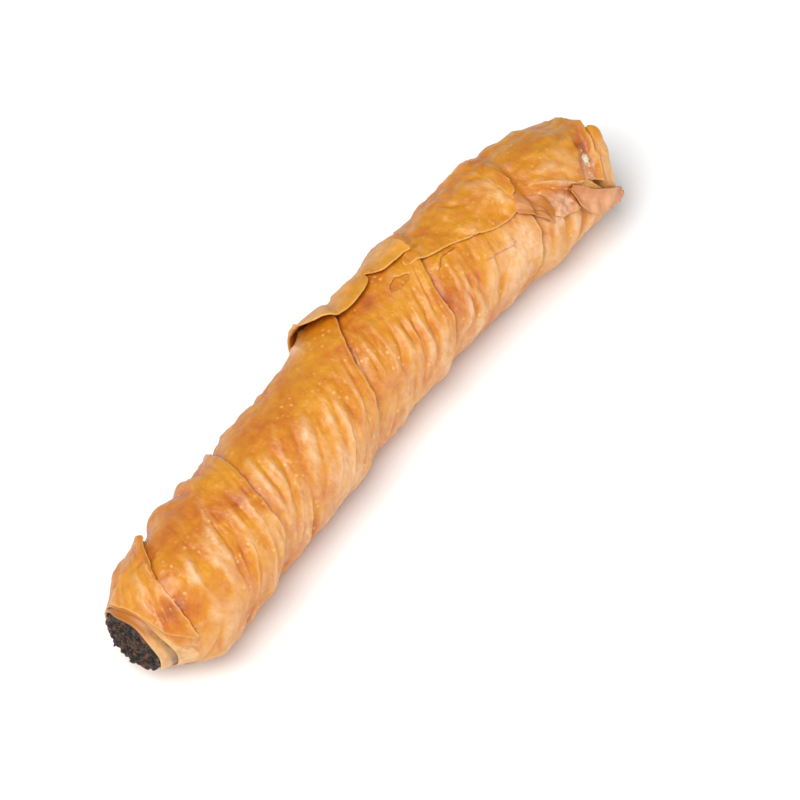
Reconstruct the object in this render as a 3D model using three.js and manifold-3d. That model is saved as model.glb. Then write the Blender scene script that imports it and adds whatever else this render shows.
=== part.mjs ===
// A spinach and cheese borek: a log of filling in thin dough, wound round it as one long strip.
// Each turn of the strip laps over the turn beyond it, so the roll carries a spiral of raised edges,
// with loose flaps of dough where a sheet ends and the filling showing at both mouths.
// Millimetres, +Z up. The roll lies along X on a flat spot, its open near mouth at -X.
import * as THREE from "three";
import { mergeGeometries, mergeVertices } from "three/addons/utils/BufferGeometryUtils.js";
import Module from "manifold-3d";

const wasm = await Module();
wasm.setup();

const TAU = 2 * Math.PI;
const radians = THREE.MathUtils.degToRad;
const { clamp, lerp, smoothstep } = THREE.MathUtils;

// The roll as a whole
const ROLL_LENGTH = 214;
const ROLL_RADIUS = 20.2;
const BOW = 6.5; // how far the middle swings towards +Y
const BOW_PEAK = 1.35; // above 1 puts the widest swing past the middle
const FLAT_DEPTH = 1.3; // how much of the round is pressed flat where the roll rests
const AXIS_HEIGHT = ROLL_RADIUS - FLAT_DEPTH;
const NEAR_MOUTH_RADIUS = 11.3;
const NEAR_ROUNDING = 17;
const FAR_MOUTH_RADIUS = 15.5;
const FAR_ROUNDING = 26;

// The wound strip. An angle is measured from the top of the roll towards the front, -Y.
const WRAP_PITCH = 42;
const EDGE_ANGLE = radians(48); // where the edges below are measured
const EDGES = [9.5, 52.6, 102, 139.5, 179]; // from the near tip, one for each turn
const EDGE_STEP = 1.3; // how far a turn's edge stands above the next turn
const RISER = 0.3;
const FOLDS_PER_TURN = 4;
const FOLD_HEIGHT = 0.7;
const SWELL_HEIGHT = 0.55;
const COLUMNS = 42;
const ROWS = 14;

// The mouths
const NEAR_RIM = 2;
const NEAR_RIM_SLANT = 10; // the wrap stops this much further in at the front
const NEAR_RIM_FRONT = radians(125);
const FAR_RIM = 208;
const FAR_RIM_SLANT = 3;
const FAR_RIM_BACK = radians(-30);
const MOUTH_DEPTH = 8;

// The filling, and the inner dough that shows in the mouths: [distance from the near tip, radius] profiles
const FILLING_PROFILE = [
  [0.9, 0], [0.7, 3.5], [1, 7], [2.2, 9.4], [4.5, 10.5], [9, 11], [24, 14.5], [64, 14.5], [107, 14.5],
  [150, 14.5], [190, 14.5], [200, 12], [205.5, 11.2], [206.8, 9.5], [207.2, 7], [207, 3.5], [207, 0],
];
const FILLING_CRAGS = 0.9;
const GAP = 0.3;
const NEAR_DOUGH = [
  [1.4, 0], [1.2, 12], [4.6, 13.2], [4.9, 14.2], [8.6, 15.6], [8.9, 16.6], [14, 17.6], [20, 14], [20, 0],
];
const FAR_DOUGH = [
  [190, 0], [190, 14], [205, 16.3], [209.8, 15.8], [210.1, 14.9], [213.4, 14], [214, 12.6], [213.4, 0],
];

// Loose sheets of dough on the roll. Each line across a sheet runs from its root to its free edge:
// [root distance, root degrees, edge distance, edge degrees, lift of the edge].
const SHEET = 0.9;
const SHEET_ROOT = 0.9; // how deep a sheet starts inside the dough under it
const SHEET_STEPS = 7;
const SHEETS = {
  topPatch: [
    [143, -110, 141, -16, 0.2], [152, -110, 155, 7, 0.3], [162, -110, 170.5, 25, 0.6],
    [172, -110, 177, 23, 0.7], [187, -110, 179.7, 10, 0.4],
  ],
  longFlap: [
    [108.5, -118, 108.4, -60, 2.6], [112, -118, 112.4, -35, 3], [117, -118, 118, -25, 2.8],
    [125, -118, 126, -27, 2.4], [132, -118, 132, -34, 1.8], [136, -118, 136, -25, 1.8], [147.4, -118, 147.4, -25, 1],
  ],
  nearEar: [
    [8, -14, 14, -12, 0.4], [10, -32, 18.5, -28, 1.6], [11, -50, 21.6, -46, 2.4], [13, -66, 22, -62, 1.9],
    [17, -88, 22.5, -84, 0.5],
  ],
  farCorner: [[181.7, 14, 176.4, 24, 0.5], [184, 21, 180.5, 38, 1.1], [187, 28, 184.3, 52, 1.4]],
  farTab: [
    [187, 27, 186, 45, 0.5], [191, 31, 190, 56, 1], [196, 35, 196, 57, 1.1], [199, 37, 199.5, 48, 0.5],
  ],
  farEar: [
    [195, 36, 196.5, 66, 0.6], [199, 41, 198.4, 82, 1.6], [204, 47, 204, 93, 2], [208, 54, 209, 100, 2],
    [211, 62, 212, 92, 1.4],
  ],
};

// Distance of a turn's free edge from the near tip. Whole turns lie at EDGE_ANGLE.
const FIRST_TURN = -1;
const LAST_TURN = EDGES.length + 1;
const edgeLine = [];
for (let turn = FIRST_TURN - 1; turn <= LAST_TURN; turn += 1) {
  const known = clamp(turn, 0, EDGES.length - 1);
  edgeLine.push(new THREE.Vector2(turn, EDGES[known] + (turn - known) * WRAP_PITCH));
}
const edgeSpline = new THREE.SplineCurve(edgeLine);

function edgeAt(turn) {
  return edgeSpline.getPoint((turn - FIRST_TURN + 1) / (edgeLine.length - 1)).y;
}

function easeOut(t) {
  return Math.sin((Math.PI / 2) * clamp(t, 0, 1));
}

function angleBetween(a, b) {
  return Math.abs(Math.atan2(Math.sin(a - b), Math.cos(a - b)));
}

function rollRadius(x) {
  const nearDrop = (ROLL_RADIUS - NEAR_MOUTH_RADIUS) * (1 - easeOut(x / NEAR_ROUNDING));
  const farDrop = (ROLL_RADIUS - FAR_MOUTH_RADIUS) * (1 - easeOut((ROLL_LENGTH - x) / FAR_ROUNDING));
  return ROLL_RADIUS - nearDrop - farDrop;
}

// Long soft folds that follow the winding, and the uneven swell of the filling under the dough.
function doughRelief(x, angle) {
  const along = (TAU * FOLDS_PER_TURN * x) / WRAP_PITCH + FOLDS_PER_TURN * angle;
  const folds = Math.sin(along + 1.2 * Math.sin(2 * angle + x / 31));
  const frontShare = 0.35 + 0.65 * Math.max(0, Math.sin(angle));
  const swell = Math.sin(x / 11 + 1.6 * Math.sin(angle)) * Math.cos(2 * angle + x / 27);
  return FOLD_HEIGHT * frontShare * folds + SWELL_HEIGHT * swell;
}

function lowSurface(x, angle) {
  return rollRadius(x) + doughRelief(x, angle);
}

// Rises across a turn from under the turn before it to its own free edge.
function lapLift(share) {
  return EDGE_STEP * smoothstep(share, 0, 1);
}

function wrapSurface(x, angle) {
  let turn = FIRST_TURN + 1 + THREE.MathUtils.euclideanModulo((EDGE_ANGLE - angle) / TAU, 1);
  while (edgeAt(turn) < x) turn += 1;
  const share = (x - edgeAt(turn - 1)) / (edgeAt(turn) - edgeAt(turn - 1));
  return lowSurface(x, angle) + lapLift(share);
}

function nearRim(angle) {
  const away = angleBetween(angle, NEAR_RIM_FRONT) / radians(95);
  return NEAR_RIM + NEAR_RIM_SLANT * (1 - smoothstep(away, 0.35, 1));
}

function farRim(angle) {
  return FAR_RIM + FAR_RIM_SLANT * Math.cos(angle - FAR_RIM_BACK);
}

// A place on the roll, from its distance along, angle round and radius. The floor presses it flat.
function onRoll(x, angle, radius) {
  const swing = BOW * Math.sin(Math.PI * clamp(x / ROLL_LENGTH, 0, 1) ** BOW_PEAK);
  const height = AXIS_HEIGHT + radius * Math.cos(angle);
  return new THREE.Vector3(x - ROLL_LENGTH / 2, swing - radius * Math.sin(angle), Math.max(0, height));
}

function moveVertices(geometry, place) {
  const position = geometry.getAttribute("position");
  const from = new THREE.Vector3();
  for (let i = 0; i < position.count; i += 1) {
    from.fromBufferAttribute(position, i);
    position.setXYZ(i, ...place(from));
  }
  return geometry;
}

function solidFrom(geometry) {
  const bare = geometry.clone();
  bare.deleteAttribute("normal");
  bare.deleteAttribute("uv");
  const merged = mergeVertices(bare, 1e-3);
  const index = merged.index.array;
  const kept = [];
  for (let i = 0; i < index.length; i += 3) {
    const [a, b, c] = index.slice(i, i + 3);
    if (a !== b && b !== c && c !== a) kept.push(a, b, c);
  }
  const vertProperties = merged.getAttribute("position").array;
  const mesh = new wasm.Mesh({ numProp: 3, vertProperties, triVerts: new Uint32Array(kept) });
  mesh.merge();
  return new wasm.Manifold(mesh);
}

function geometryFrom(solid) {
  const mesh = solid.getMesh();
  const geometry = new THREE.BufferGeometry();
  geometry.setAttribute("position", new THREE.BufferAttribute(mesh.vertProperties, mesh.numProp));
  geometry.setIndex(new THREE.BufferAttribute(mesh.triVerts, 1));
  geometry.computeVertexNormals();
  return geometry;
}

// The strip wound round the roll, one plane from its first turn to its last. Its last row drops to the
// turn beyond it, whose first row starts there, and what runs past a rim is gathered on that rim.
function woundStrip() {
  const turns = LAST_TURN - FIRST_TURN;
  const plane = new THREE.PlaneGeometry(1, 1, turns * COLUMNS, ROWS);
  return moveVertices(plane, ({ x: along, y: across }) => {
    const turn = FIRST_TURN + turns * (0.5 - along);
    const row = Math.round((across + 0.5) * ROWS);
    const angle = EDGE_ANGLE - TAU * turn;
    const own = edgeAt(turn);
    const previous = edgeAt(turn - 1);
    const share = row / (ROWS - 1);
    const x = share > 1 ? own + RISER : lerp(previous + RISER, own, share);
    if (x <= nearRim(angle)) return onRoll(nearRim(angle), angle, lowSurface(nearRim(angle), angle));
    if (x >= farRim(angle)) return onRoll(farRim(angle), angle, lowSurface(farRim(angle), angle));
    const lift = share > 1 ? 0 : lapLift(share);
    return onRoll(x, angle, lowSurface(x, angle) + lift);
  });
}

function mouthDisc(rim, inward, turnWay) {
  const disc = new THREE.CircleGeometry(1, COLUMNS);
  return moveVertices(disc, (at) => {
    const angle = EDGE_ANGLE + turnWay * Math.atan2(at.y, at.x);
    const share = at.length() > 0.5 ? 1 : 0;
    return onRoll(rim(angle) + (1 - share) * inward, angle, share * lowSurface(rim(angle), angle));
  });
}

function wrapSolid() {
  const near = mouthDisc(nearRim, MOUTH_DEPTH, -1);
  const far = mouthDisc(farRim, -MOUTH_DEPTH, 1);
  return solidFrom(mergeGeometries([woundStrip(), near, far]));
}

// A round body along the roll, turned from a profile, its ends roughened by crags.
function turnedSolid(profile, sides, crags = 0) {
  const points = profile.map(([x, radius]) => new THREE.Vector2(radius, x));
  const middle = ROLL_LENGTH / 2;
  return solidFrom(
    moveVertices(new THREE.LatheGeometry(points, sides), (at) => {
      const angle = Math.atan2(at.x, at.z);
      const radius = Math.hypot(at.x, at.z);
      const endShare = smoothstep(Math.abs(at.y - middle), middle - 12, middle - 3);
      const rough = Math.sin(3 * angle + radius) * Math.cos(2 * angle - 0.7 * radius) * Math.min(1, radius / 5);
      return onRoll(at.y + crags * endShare * rough, angle, radius);
    }),
  );
}

// A thin sheet bent on to the roll. It starts under the surface and rises to its free edge.
function looseSheet(lines) {
  const spans = 2 * (lines.length - 1);
  const box = new THREE.BoxGeometry(1, 1, 1, SHEET_STEPS, spans, 1);
  return solidFrom(
    moveVertices(box, ({ x, y, z }) => {
      const out = x + 0.5;
      const place = (y + 0.5) * (lines.length - 1);
      const first = Math.min(Math.floor(place), lines.length - 2);
      const [rootX, rootDegrees, edgeX, edgeDegrees, lift] = lines[first].map((value, i) =>
        lerp(value, lines[first + 1][i], place - first),
      );
      const along = lerp(rootX, edgeX, out);
      const angle = radians(lerp(rootDegrees, edgeDegrees, out));
      const rise = lift * out ** 1.4 - SHEET_ROOT * (1 - out);
      return onRoll(along, angle, wrapSurface(along, angle) + rise + (z + 0.5) * SHEET);
    }),
  );
}

// All the dough with the filling's bore cut through it. The pockets closed in under a sheet are filled.
function pastrySolid() {
  const loose = Object.values(SHEETS).map(looseSheet);
  const dough = [wrapSolid(), turnedSolid(NEAR_DOUGH, 36), turnedSolid(FAR_DOUGH, 36), ...loose];
  const bore = FILLING_PROFILE.slice(4, 13).map(([x, radius]) => [x, radius + GAP]);
  const [firstX, firstRadius] = [-4, bore[0][1]];
  const [lastX, lastRadius] = [ROLL_LENGTH + 6, bore.at(-1)[1]];
  const through = [[firstX, 0], [firstX, firstRadius], ...bore, [lastX, lastRadius], [lastX, 0]];
  const joined = wasm.Manifold.union(dough).subtract(turnedSolid(through, 40)).simplify(0.02);
  return joined.decompose().reduce((body, shell) => (shell.volume() > body.volume() ? shell : body));
}

const solids = { pastry: pastrySolid(), filling: turnedSolid(FILLING_PROFILE, 40, FILLING_CRAGS) };
const colours = { pastry: 0xd98a3a, filling: 0x4a3f2e };

const part = new THREE.Group();
part.name = "spinach_and_cheese_borek";
for (const [name, solid] of Object.entries(solids)) {
  const material = new THREE.MeshStandardMaterial({ color: colours[name], roughness: 0.55 });
  const mesh = new THREE.Mesh(geometryFrom(solid), material);
  mesh.name = name;
  part.add(mesh);
}

// The origin lies under the middle of the box round the whole roll.
const box = new THREE.Box3().setFromObject(part);
const centre = box.getCenter(new THREE.Vector3());
for (const mesh of part.children) mesh.geometry.translate(-centre.x, -centre.y, -box.min.z);

export default part;
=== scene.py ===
# %% [markdown]
# # A baked borek roll
# The roll is a log of spinach and cheese inside dough as thin as paper. The dough is one long strip, wound
# round the filling like a bandage, so each turn leaves a free edge lying on the turn beyond it.
# A smooth cylinder with a bump map would be quicker to make, but its edges would never lift or throw a
# shadow. Here every sheet of dough starts as a flat grid, is bent on to the roll and gets a real thickness.

# %% Load the solid model that everything has to fit
import math
import random

import bmesh
import bpy
import numpy as np
from mathutils import Matrix, Vector, noise
from mathutils.bvhtree import BVHTree


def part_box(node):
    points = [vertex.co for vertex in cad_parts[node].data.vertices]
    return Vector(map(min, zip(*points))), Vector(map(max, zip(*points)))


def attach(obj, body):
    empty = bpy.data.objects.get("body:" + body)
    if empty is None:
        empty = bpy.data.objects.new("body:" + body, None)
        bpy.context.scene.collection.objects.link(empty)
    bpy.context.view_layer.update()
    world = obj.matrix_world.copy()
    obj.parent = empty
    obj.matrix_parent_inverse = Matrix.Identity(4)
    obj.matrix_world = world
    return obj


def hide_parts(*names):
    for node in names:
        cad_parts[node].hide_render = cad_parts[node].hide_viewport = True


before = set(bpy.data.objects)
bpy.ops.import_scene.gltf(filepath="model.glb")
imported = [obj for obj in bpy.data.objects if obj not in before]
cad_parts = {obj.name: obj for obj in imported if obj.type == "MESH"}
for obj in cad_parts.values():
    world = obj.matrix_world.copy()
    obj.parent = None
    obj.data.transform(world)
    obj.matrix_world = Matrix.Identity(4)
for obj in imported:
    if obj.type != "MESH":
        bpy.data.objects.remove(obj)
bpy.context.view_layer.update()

# %% [markdown]
# ## A ruler for a bent roll
# A place on the roll is easiest to say as a distance from its near tip, an angle round it and a radius.
# The angle starts at the top and grows towards the front. The roll is bowed, rounded at both ends and
# pressed flat underneath where it lay on the tray, and all three are built into these few functions.

# %% Sizes of the roll, in millimetres
MM = 0.001
TAU = 2 * math.pi
ROLL_LENGTH = 214.0
ROLL_RADIUS = 20.2
ROLL_GIRTH = TAU * ROLL_RADIUS
BOW = 6.5
BOW_PEAK = 1.35
FLAT_DEPTH = 1.3
NEAR_TURN_LENGTH = 24.0  # the near mouth turns aside and up over this length
NEAR_SWING = 2.0
NEAR_RISE = 0.8
NEAR_MOUTH_RADIUS = 11.3
NEAR_ROUNDING = 19.0
FAR_MOUTH_RADIUS = 15.5
FAR_ROUNDING = 26.0
SKIN_DROP = 0.7  # room for the wrinkles, which stand above this
BELLY_RADIUS = 14.5  # the filling at its widest
BELLY = np.linspace(24.0, 190.0, 50)


def smooth(t):
    t = np.clip(t, 0.0, 1.0)
    return t * t * (3 - 2 * t)


def ease_out(t):
    return np.sin(0.5 * np.pi * np.clip(t, 0.0, 1.0))


def near_turn(x):
    return 1 - smooth(x / NEAR_TURN_LENGTH)


def swing(x):
    return BOW * np.sin(np.pi * np.clip(x / ROLL_LENGTH, 0.0, 1.0) ** BOW_PEAK) + NEAR_SWING * near_turn(x)


def axis_height(x):
    return ROLL_RADIUS - FLAT_DEPTH + NEAR_RISE * near_turn(x)


def roll_radius(x):
    near_drop = (ROLL_RADIUS - NEAR_MOUTH_RADIUS) * (1 - ease_out(x / NEAR_ROUNDING))
    far_drop = (ROLL_RADIUS - FAR_MOUTH_RADIUS) * (1 - ease_out((ROLL_LENGTH - x) / FAR_ROUNDING))
    return ROLL_RADIUS - SKIN_DROP - near_drop - far_drop


# %% Where the roll's own ruler lies in the solid model's frame
filling_low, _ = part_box("filling")
_, pastry_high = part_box("pastry")
shift = np.array((
    pastry_high[0] - MM * ROLL_LENGTH / 2,
    filling_low[1] - MM * np.min(swing(BELLY) - BELLY_RADIUS),
    0.0,
))
print("the ruler is moved by", shift)


def on_roll(x, angle, radius, lowest=0.0):
    height = np.maximum(axis_height(x) + radius * np.cos(angle), lowest)
    places = np.stack((x - ROLL_LENGTH / 2, swing(x) - radius * np.sin(angle), height), axis=-1)
    return places * MM + shift


# %% [markdown]
# ## The winding
# The strip's free edge was measured at many places, each a number of turns and a distance along the roll.
# The curve through them is rounded off a little, and gives the spiral that the eye follows.

# %% The spiral of free edges
EDGE_ANGLE = math.radians(48)  # where a whole number of turns falls
EDGE_POINTS = (
    (-1.40, -48.0), (-0.50, -12.0), (-0.20, 1.0), (-0.10, 6.0), (-0.05, 8.9), (0.0, 8.7), (0.05, 9.5),
    (0.10, 10.7), (0.15, 12.4), (0.18, 15.0), (0.23, 19.2), (0.25, 22.4), (0.32, 24.0), (0.44, 26.5),
    (0.63, 31.0), (0.77, 35.5), (0.88, 41.2), (0.91, 43.4), (0.96, 47.5), (1.0, 49.5), (1.05, 50.0),
    (1.10, 51.0), (1.17, 53.7), (1.22, 55.3), (1.32, 58.5), (1.44, 64.0), (1.63, 75.0), (1.77, 84.5),
    (1.88, 91.8), (1.91, 93.8), (1.94, 95.6), (1.98, 97.8), (2.03, 99.8), (2.07, 101.3), (2.11, 103.3),
    (2.15, 106.2), (2.21, 112.2), (2.26, 115.5), (2.32, 117.0), (2.44, 119.0), (2.63, 122.5),
    (2.77, 126.0), (2.88, 130.0), (2.94, 134.0), (2.99, 135.7), (3.04, 136.6), (3.08, 138.5),
    (3.14, 142.2), (3.22, 147.0), (3.32, 150.0), (3.44, 153.0), (3.63, 159.0), (3.77, 164.0),
    (3.88, 169.3), (3.93, 172.5), (3.98, 175.6), (4.02, 177.0), (4.08, 179.0), (4.16, 182.0),
    (4.32, 187.0), (4.63, 199.0), (5.0, 214.0), (6.0, 256.0), (8.0, 340.0),
)
EDGE_STRIDE = 0.004  # of a turn
ROUNDED_STRIDES = 5  # on either side of a place
edge_turns = np.arange(EDGE_POINTS[0][0], EDGE_POINTS[-1][0], EDGE_STRIDE)
rounding = np.hanning(2 * ROUNDED_STRIDES + 1)
straight_edge = np.pad(np.interp(edge_turns, *zip(*EDGE_POINTS)), ROUNDED_STRIDES, mode="edge")
edge_places = np.convolve(straight_edge, rounding / np.sum(rounding), mode="valid")


def edge_at(turn):
    return np.interp(turn, edge_turns, edge_places)


def angle_at(turn):
    return EDGE_ANGLE - TAU * turn


print("free edges at", [round(float(edge_at(turn)), 1) for turn in range(5)])

# %% The two rims
def by_angle(angle, *table):
    """A value read from (degrees, value) pairs round the roll."""
    degrees, values = zip(*table)
    return np.interp(np.degrees(angle), degrees, values, period=360)


NEAR_RIM = (
    (-60, 2.6), (-36, 1.9), (-19, 2.0), (0, 2.1), (19, 2.3), (44, 2.8), (63, 3.8), (86, 7.0),
    (105, 8.5), (135, 9.0), (180, 6.5), (225, 4.0), (270, 3.0),
)
FIRST_TURN_STEP = ((0, 0), (38, 0.1), (48, 0.9), (56, 2.6), (68, 4.8), (80, 5), (180, 0))
FAR_RIM = ((-180, 207), (-158, 207), (-143, 198), (40, 198), (70, 203), (100, 208), (140, 207))


def near_rim(angle):
    return by_angle(angle, *NEAR_RIM)


def first_turn_rim(angle):
    return near_rim(angle) + by_angle(angle, *FIRST_TURN_STEP)


def far_rim(angle):
    return by_angle(angle, *FAR_RIM)


print("rims on top at", near_rim(0.0), "and", far_rim(0.0), "mm")

# %% Which turn lies on top
MOST_TURNS = 8


def visible_turn(x, angle):
    """The turn that lies on top at a place."""
    turn = np.mod((EDGE_ANGLE - angle) / TAU, 1.0) - 1.0
    for _ in range(MOST_TURNS):
        turn = np.where(edge_at(turn) < x, turn + 1.0, turn)
    return turn


halfway = visible_turn(ROLL_LENGTH / 2, 0.0)
print("turn on top halfway along the roll:", np.round(halfway, 2))

# %% [markdown]
# ## Relief in the dough
# The filling under the dough is lumpy, and the dough itself wrinkles as it dries in the oven. The lumps are
# a slow swell over the whole roll. The wrinkles are soft ridges that follow the winding, each with its own
# length and width. Those in front are listed one by one, and a seeded draw gives the rest, because plain
# noise has no direction.

# %% Noise and soft spots on the roll
def noise_on_roll(x, angle, spacing, seed):
    around = ROLL_RADIUS / spacing
    places = np.stack((x / spacing + seed, around * np.cos(angle), around * np.sin(angle)), axis=-1)
    flat = places.reshape(-1, 3).tolist()
    return np.array([noise.noise(place) for place in flat]).reshape(np.shape(x))


def noise_along(values, seed):
    flat = np.ravel(values).tolist()
    return np.array([noise.noise((value, seed, 0.0)) for value in flat]).reshape(np.shape(values))


def angle_between(a, b):
    return np.abs(np.arctan2(np.sin(a - b), np.cos(a - b)))


def soft_spots(x, angle, spots):
    """The sum of soft round spots, each with a distance along the roll, degrees, a size and a strength."""
    total = np.zeros(np.shape(x))
    for place, degrees, size, strength in spots:
        around = ROLL_RADIUS * angle_between(angle, math.radians(degrees))
        total += strength * np.exp(-((x - place) ** 2 + around**2) / size**2)
    return total


# %% Swell of the filling
LUMPS = (
    (34, -68, 6, 2.4), (46, -68, 8, 0.9), (25, -66, 5, -0.8), (90, -75, 16, -0.9), (132, -68, 9, -1.6),
    (149, -68, 12, -0.5), (172, -68, 5, 0.7), (181, -68, 4, -1.5), (205, -68, 11, -1.0),
    (50, 105, 14, -0.2), (69, 105, 12, -0.7), (80, 105, 8, -0.3), (91, 105, 8, -0.5),
    (120, 105, 16, -1.2), (163, 105, 9, -1.2), (180, 102, 7, 1.6), (212, 105, 6, 1.2),
    (11, -72, 10, -1.4), (8, 100, 8, -0.2), (209, -12, 8, -1.4), (27, -68, 5, -1.2), (43, -68, 6, -0.3),
    (54, -68, 8, -2.0), (84, -68, 7, -1.2), (92, -68, 6, -1.0), (99, -68, 6, -2.4), (128, -68, 7, -1.2),
    (153, -68, 6, -0.6), (180, -68, 5, -1.8), (205, -66, 6, -0.3), (210, -22, 8, -1.5),
    (163, -68, 8, -1.0), (188, -66, 6, 0.4), (197, -60, 6, -0.5), (214, -58, 6, -2.2),
    (214, -35, 6, -1.2), (40, 105, 10, -0.5), (39, -68, 4, -0.9), (196, -64, 4, -1.2),
    (175, -68, 5, -1.0), (14, 100, 6, 0.7), (29, -68, 3, 1.0), (44.8, -68, 3, 0.9),
    (12.5, -70, 3.5, 1.2), (156, -68, 4, 0.7), (165, -68, 4, 0.9), (202, -64, 3, 1.0),
    (91, 105, 4, 1.0), (10, 100, 5, 0.9), (44.5, 105, 3, -0.6), (40.4, 105, 2.5, 0.7),
    (13, 102, 5, 0.7),
)
WAVE_HEIGHT = 0.45
LUMP_HEIGHT = 1.1


def swell(x, angle):
    rolling = np.sin(x / 11 + 1.6 * np.sin(angle)) * np.cos(2 * angle + x / 27)
    lumpy = noise_on_roll(x, angle, spacing=15.0, seed=3.1)
    return WAVE_HEIGHT * rolling + LUMP_HEIGHT * lumpy + soft_spots(x, angle, LUMPS)


on_top = (np.array([ROLL_LENGTH / 2]), np.array([0.0]))
print("swell on top, halfway along:", np.round(swell(*on_top), 2), "mm")

# %% Folds of the strip
FOLDS = [
    (4.9, 1, 2.9, 34, 0.7, 0.9), (6.2, 4, 4.4, 34, 0.8, -0.6), (13.6, -17, 11.2, -5, 0.6, 0.8),
    (10.2, 16, 8.4, 42, 1.0, 0.5), (7.6, 20, 5.8, 40, 1.1, -0.7), (9.0, -16, 6.3, -4, 0.9, 0.6),
    (7.6, -26, 5.0, -14, 1.0, -0.6), (13.0, -42, 7.5, -46, 1.1, 0.8), (14.5, -27, 11.5, -30, 1.6, -0.9),
    (3.0, 50, 9.0, 53, 0.6, 0.6), (3.0, 56, 6.5, 70, 0.6, 0.5), (21.2, 8, 16.8, 54, 1.5, 0.9),
    (24.8, 12, 22.5, 36, 1.5, -0.7), (29.0, 4, 24.8, 58, 1.7, 0.9), (26.9, 30, 24.0, 50, 0.8, -0.5),
    (32.6, 4, 30.5, 32, 1.3, 0.7), (34.6, 10, 30.6, 50, 0.9, -0.6), (37.6, 18, 34.0, 48, 1.3, -1.0),
    (40.6, 16, 38.5, 40, 1.2, 0.8), (44.0, 12, 42.2, 38, 1.2, -0.8), (46.8, 10, 45.0, 45, 0.9, 0.6),
    (57.5, 0, 53.5, 38, 1.6, 0.9), (59.3, 6, 55.5, 40, 0.9, -0.7), (61.8, 8, 59.4, 30, 1.3, 0.8),
    (60.6, 14, 59.6, 26, 0.5, -0.5), (63.5, 22, 58.0, 48, 1.3, -0.9), (66.0, 16, 60.5, 52, 1.6, 0.7),
    (75.5, 20, 69.5, 44, 3.0, 0.8), (72.5, 10, 68.5, 30, 1.6, -0.7), (76.3, 32, 69.8, 58, 0.7, -0.7),
    (77.6, 32, 71.0, 58, 0.8, 0.6), (80.5, 26, 76.0, 54, 1.1, -0.8), (84.3, 26, 77.5, 58, 1.1, 0.8),
    (86.8, 28, 83.0, 50, 1.0, -0.7), (89.5, 22, 83.5, 56, 1.6, 0.8), (93.5, 18, 91.0, 36, 1.4, -0.9),
    (97.8, 8, 93.5, 50, 1.3, 0.7), (95.8, 36, 92.0, 62, 0.8, -0.5), (109.5, 12, 107.5, 32, 0.8, 0.9),
    (107.6, 18, 105.8, 34, 0.8, -0.6), (111.5, 14, 109.3, 36, 0.9, -0.8),
    (115.2, 12, 111.2, 44, 1.2, 0.8), (113.4, 22, 110.9, 42, 0.5, -0.6),
    (119.0, 14, 115.6, 42, 1.2, -0.9), (121.6, 12, 118.0, 46, 1.2, 0.7),
    (123.2, 18, 120.6, 44, 0.7, -0.7), (125.0, 20, 121.4, 52, 0.9, 0.7),
    (126.3, 24, 122.3, 54, 0.9, -0.9), (128.6, 22, 124.8, 56, 1.0, 0.8),
    (131.2, 28, 128.2, 50, 0.9, -0.9), (132.6, 24, 129.5, 54, 0.8, 0.7),
    (147.0, 34, 141.5, 66, 1.1, 0.9), (144.2, 30, 140.0, 56, 0.9, -0.7),
    (149.6, 34, 144.5, 64, 1.0, -0.9), (150.6, 28, 147.0, 56, 1.0, 0.8),
    (154.5, 26, 149.5, 56, 1.5, -1.0), (146.5, 20, 144.8, 32, 0.9, 0.6),
    (157.5, 44, 152.0, 66, 1.4, 0.7), (160.5, 48, 156.0, 70, 0.9, -0.6),
    (163.5, 54, 160.0, 76, 1.4, 0.5), (182.5, 52, 178.0, 84, 1.6, 0.7),
    (180.2, 56, 177.0, 80, 0.8, -0.6), (186.5, 58, 183.5, 86, 1.2, -0.7),
    (189.5, 60, 187.0, 90, 1.6, 0.7), (193.5, 70, 190.5, 96, 0.9, -0.8),
    (196.5, 80, 194.0, 100, 1.0, 0.7), (40.6, -98, 41.2, -42, 1.5, -1.5),
    (49.0, -98, 48.4, -42, 1.6, -1.9), (57.2, -98, 56.6, -42, 1.4, -0.9),
    (7.6, -98, 8.0, -50, 1.4, -1.3), (18.6, -96, 18.2, -52, 1.5, -0.9),
    (71.0, -98, 70.4, -42, 1.5, -1.0), (79.5, -98, 79.0, -42, 1.4, -0.9),
    (88.0, -98, 87.4, -42, 1.5, -0.8), (47.0, 86, 45.6, 128, 1.6, -0.9),
    (34.6, 86, 33.4, 128, 1.4, -0.8), (57.0, 86, 55.8, 128, 1.4, 0.6),
]
MORE_FOLDS = 140  # on the back and underneath
FOLD_FADE = 5.0  # millimetres over which a fold dies away past its ends
FOLD_SHARE = 0.8
FOLD_CORE = 0.7  # the share of its length over which a fold keeps its height
FOLD_WANDER = 0.9  # how far a fold strays from a straight line
FOLD_REACH = 12.0  # along the roll, beyond which a fold isn't felt
FOLD_SWEEP = 0.3  # the cosine of the angle beyond which it isn't felt
CREST_ROUNDING = 0.22  # of a fold's width
CREST_FALL = 1.25
fold_draw = random.Random(11)
for _ in range(MORE_FOLDS):
    place, start = fold_draw.uniform(12, 205), fold_draw.uniform(80, 285)
    reach = fold_draw.uniform(12, 40)
    height = fold_draw.choice((-1, 1)) * fold_draw.uniform(0.4, 0.9)
    lean = reach * fold_draw.uniform(0.05, 0.15)
    FOLDS.append((place, start, place - lean, start + reach, fold_draw.uniform(0.8, 1.8), height))


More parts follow.
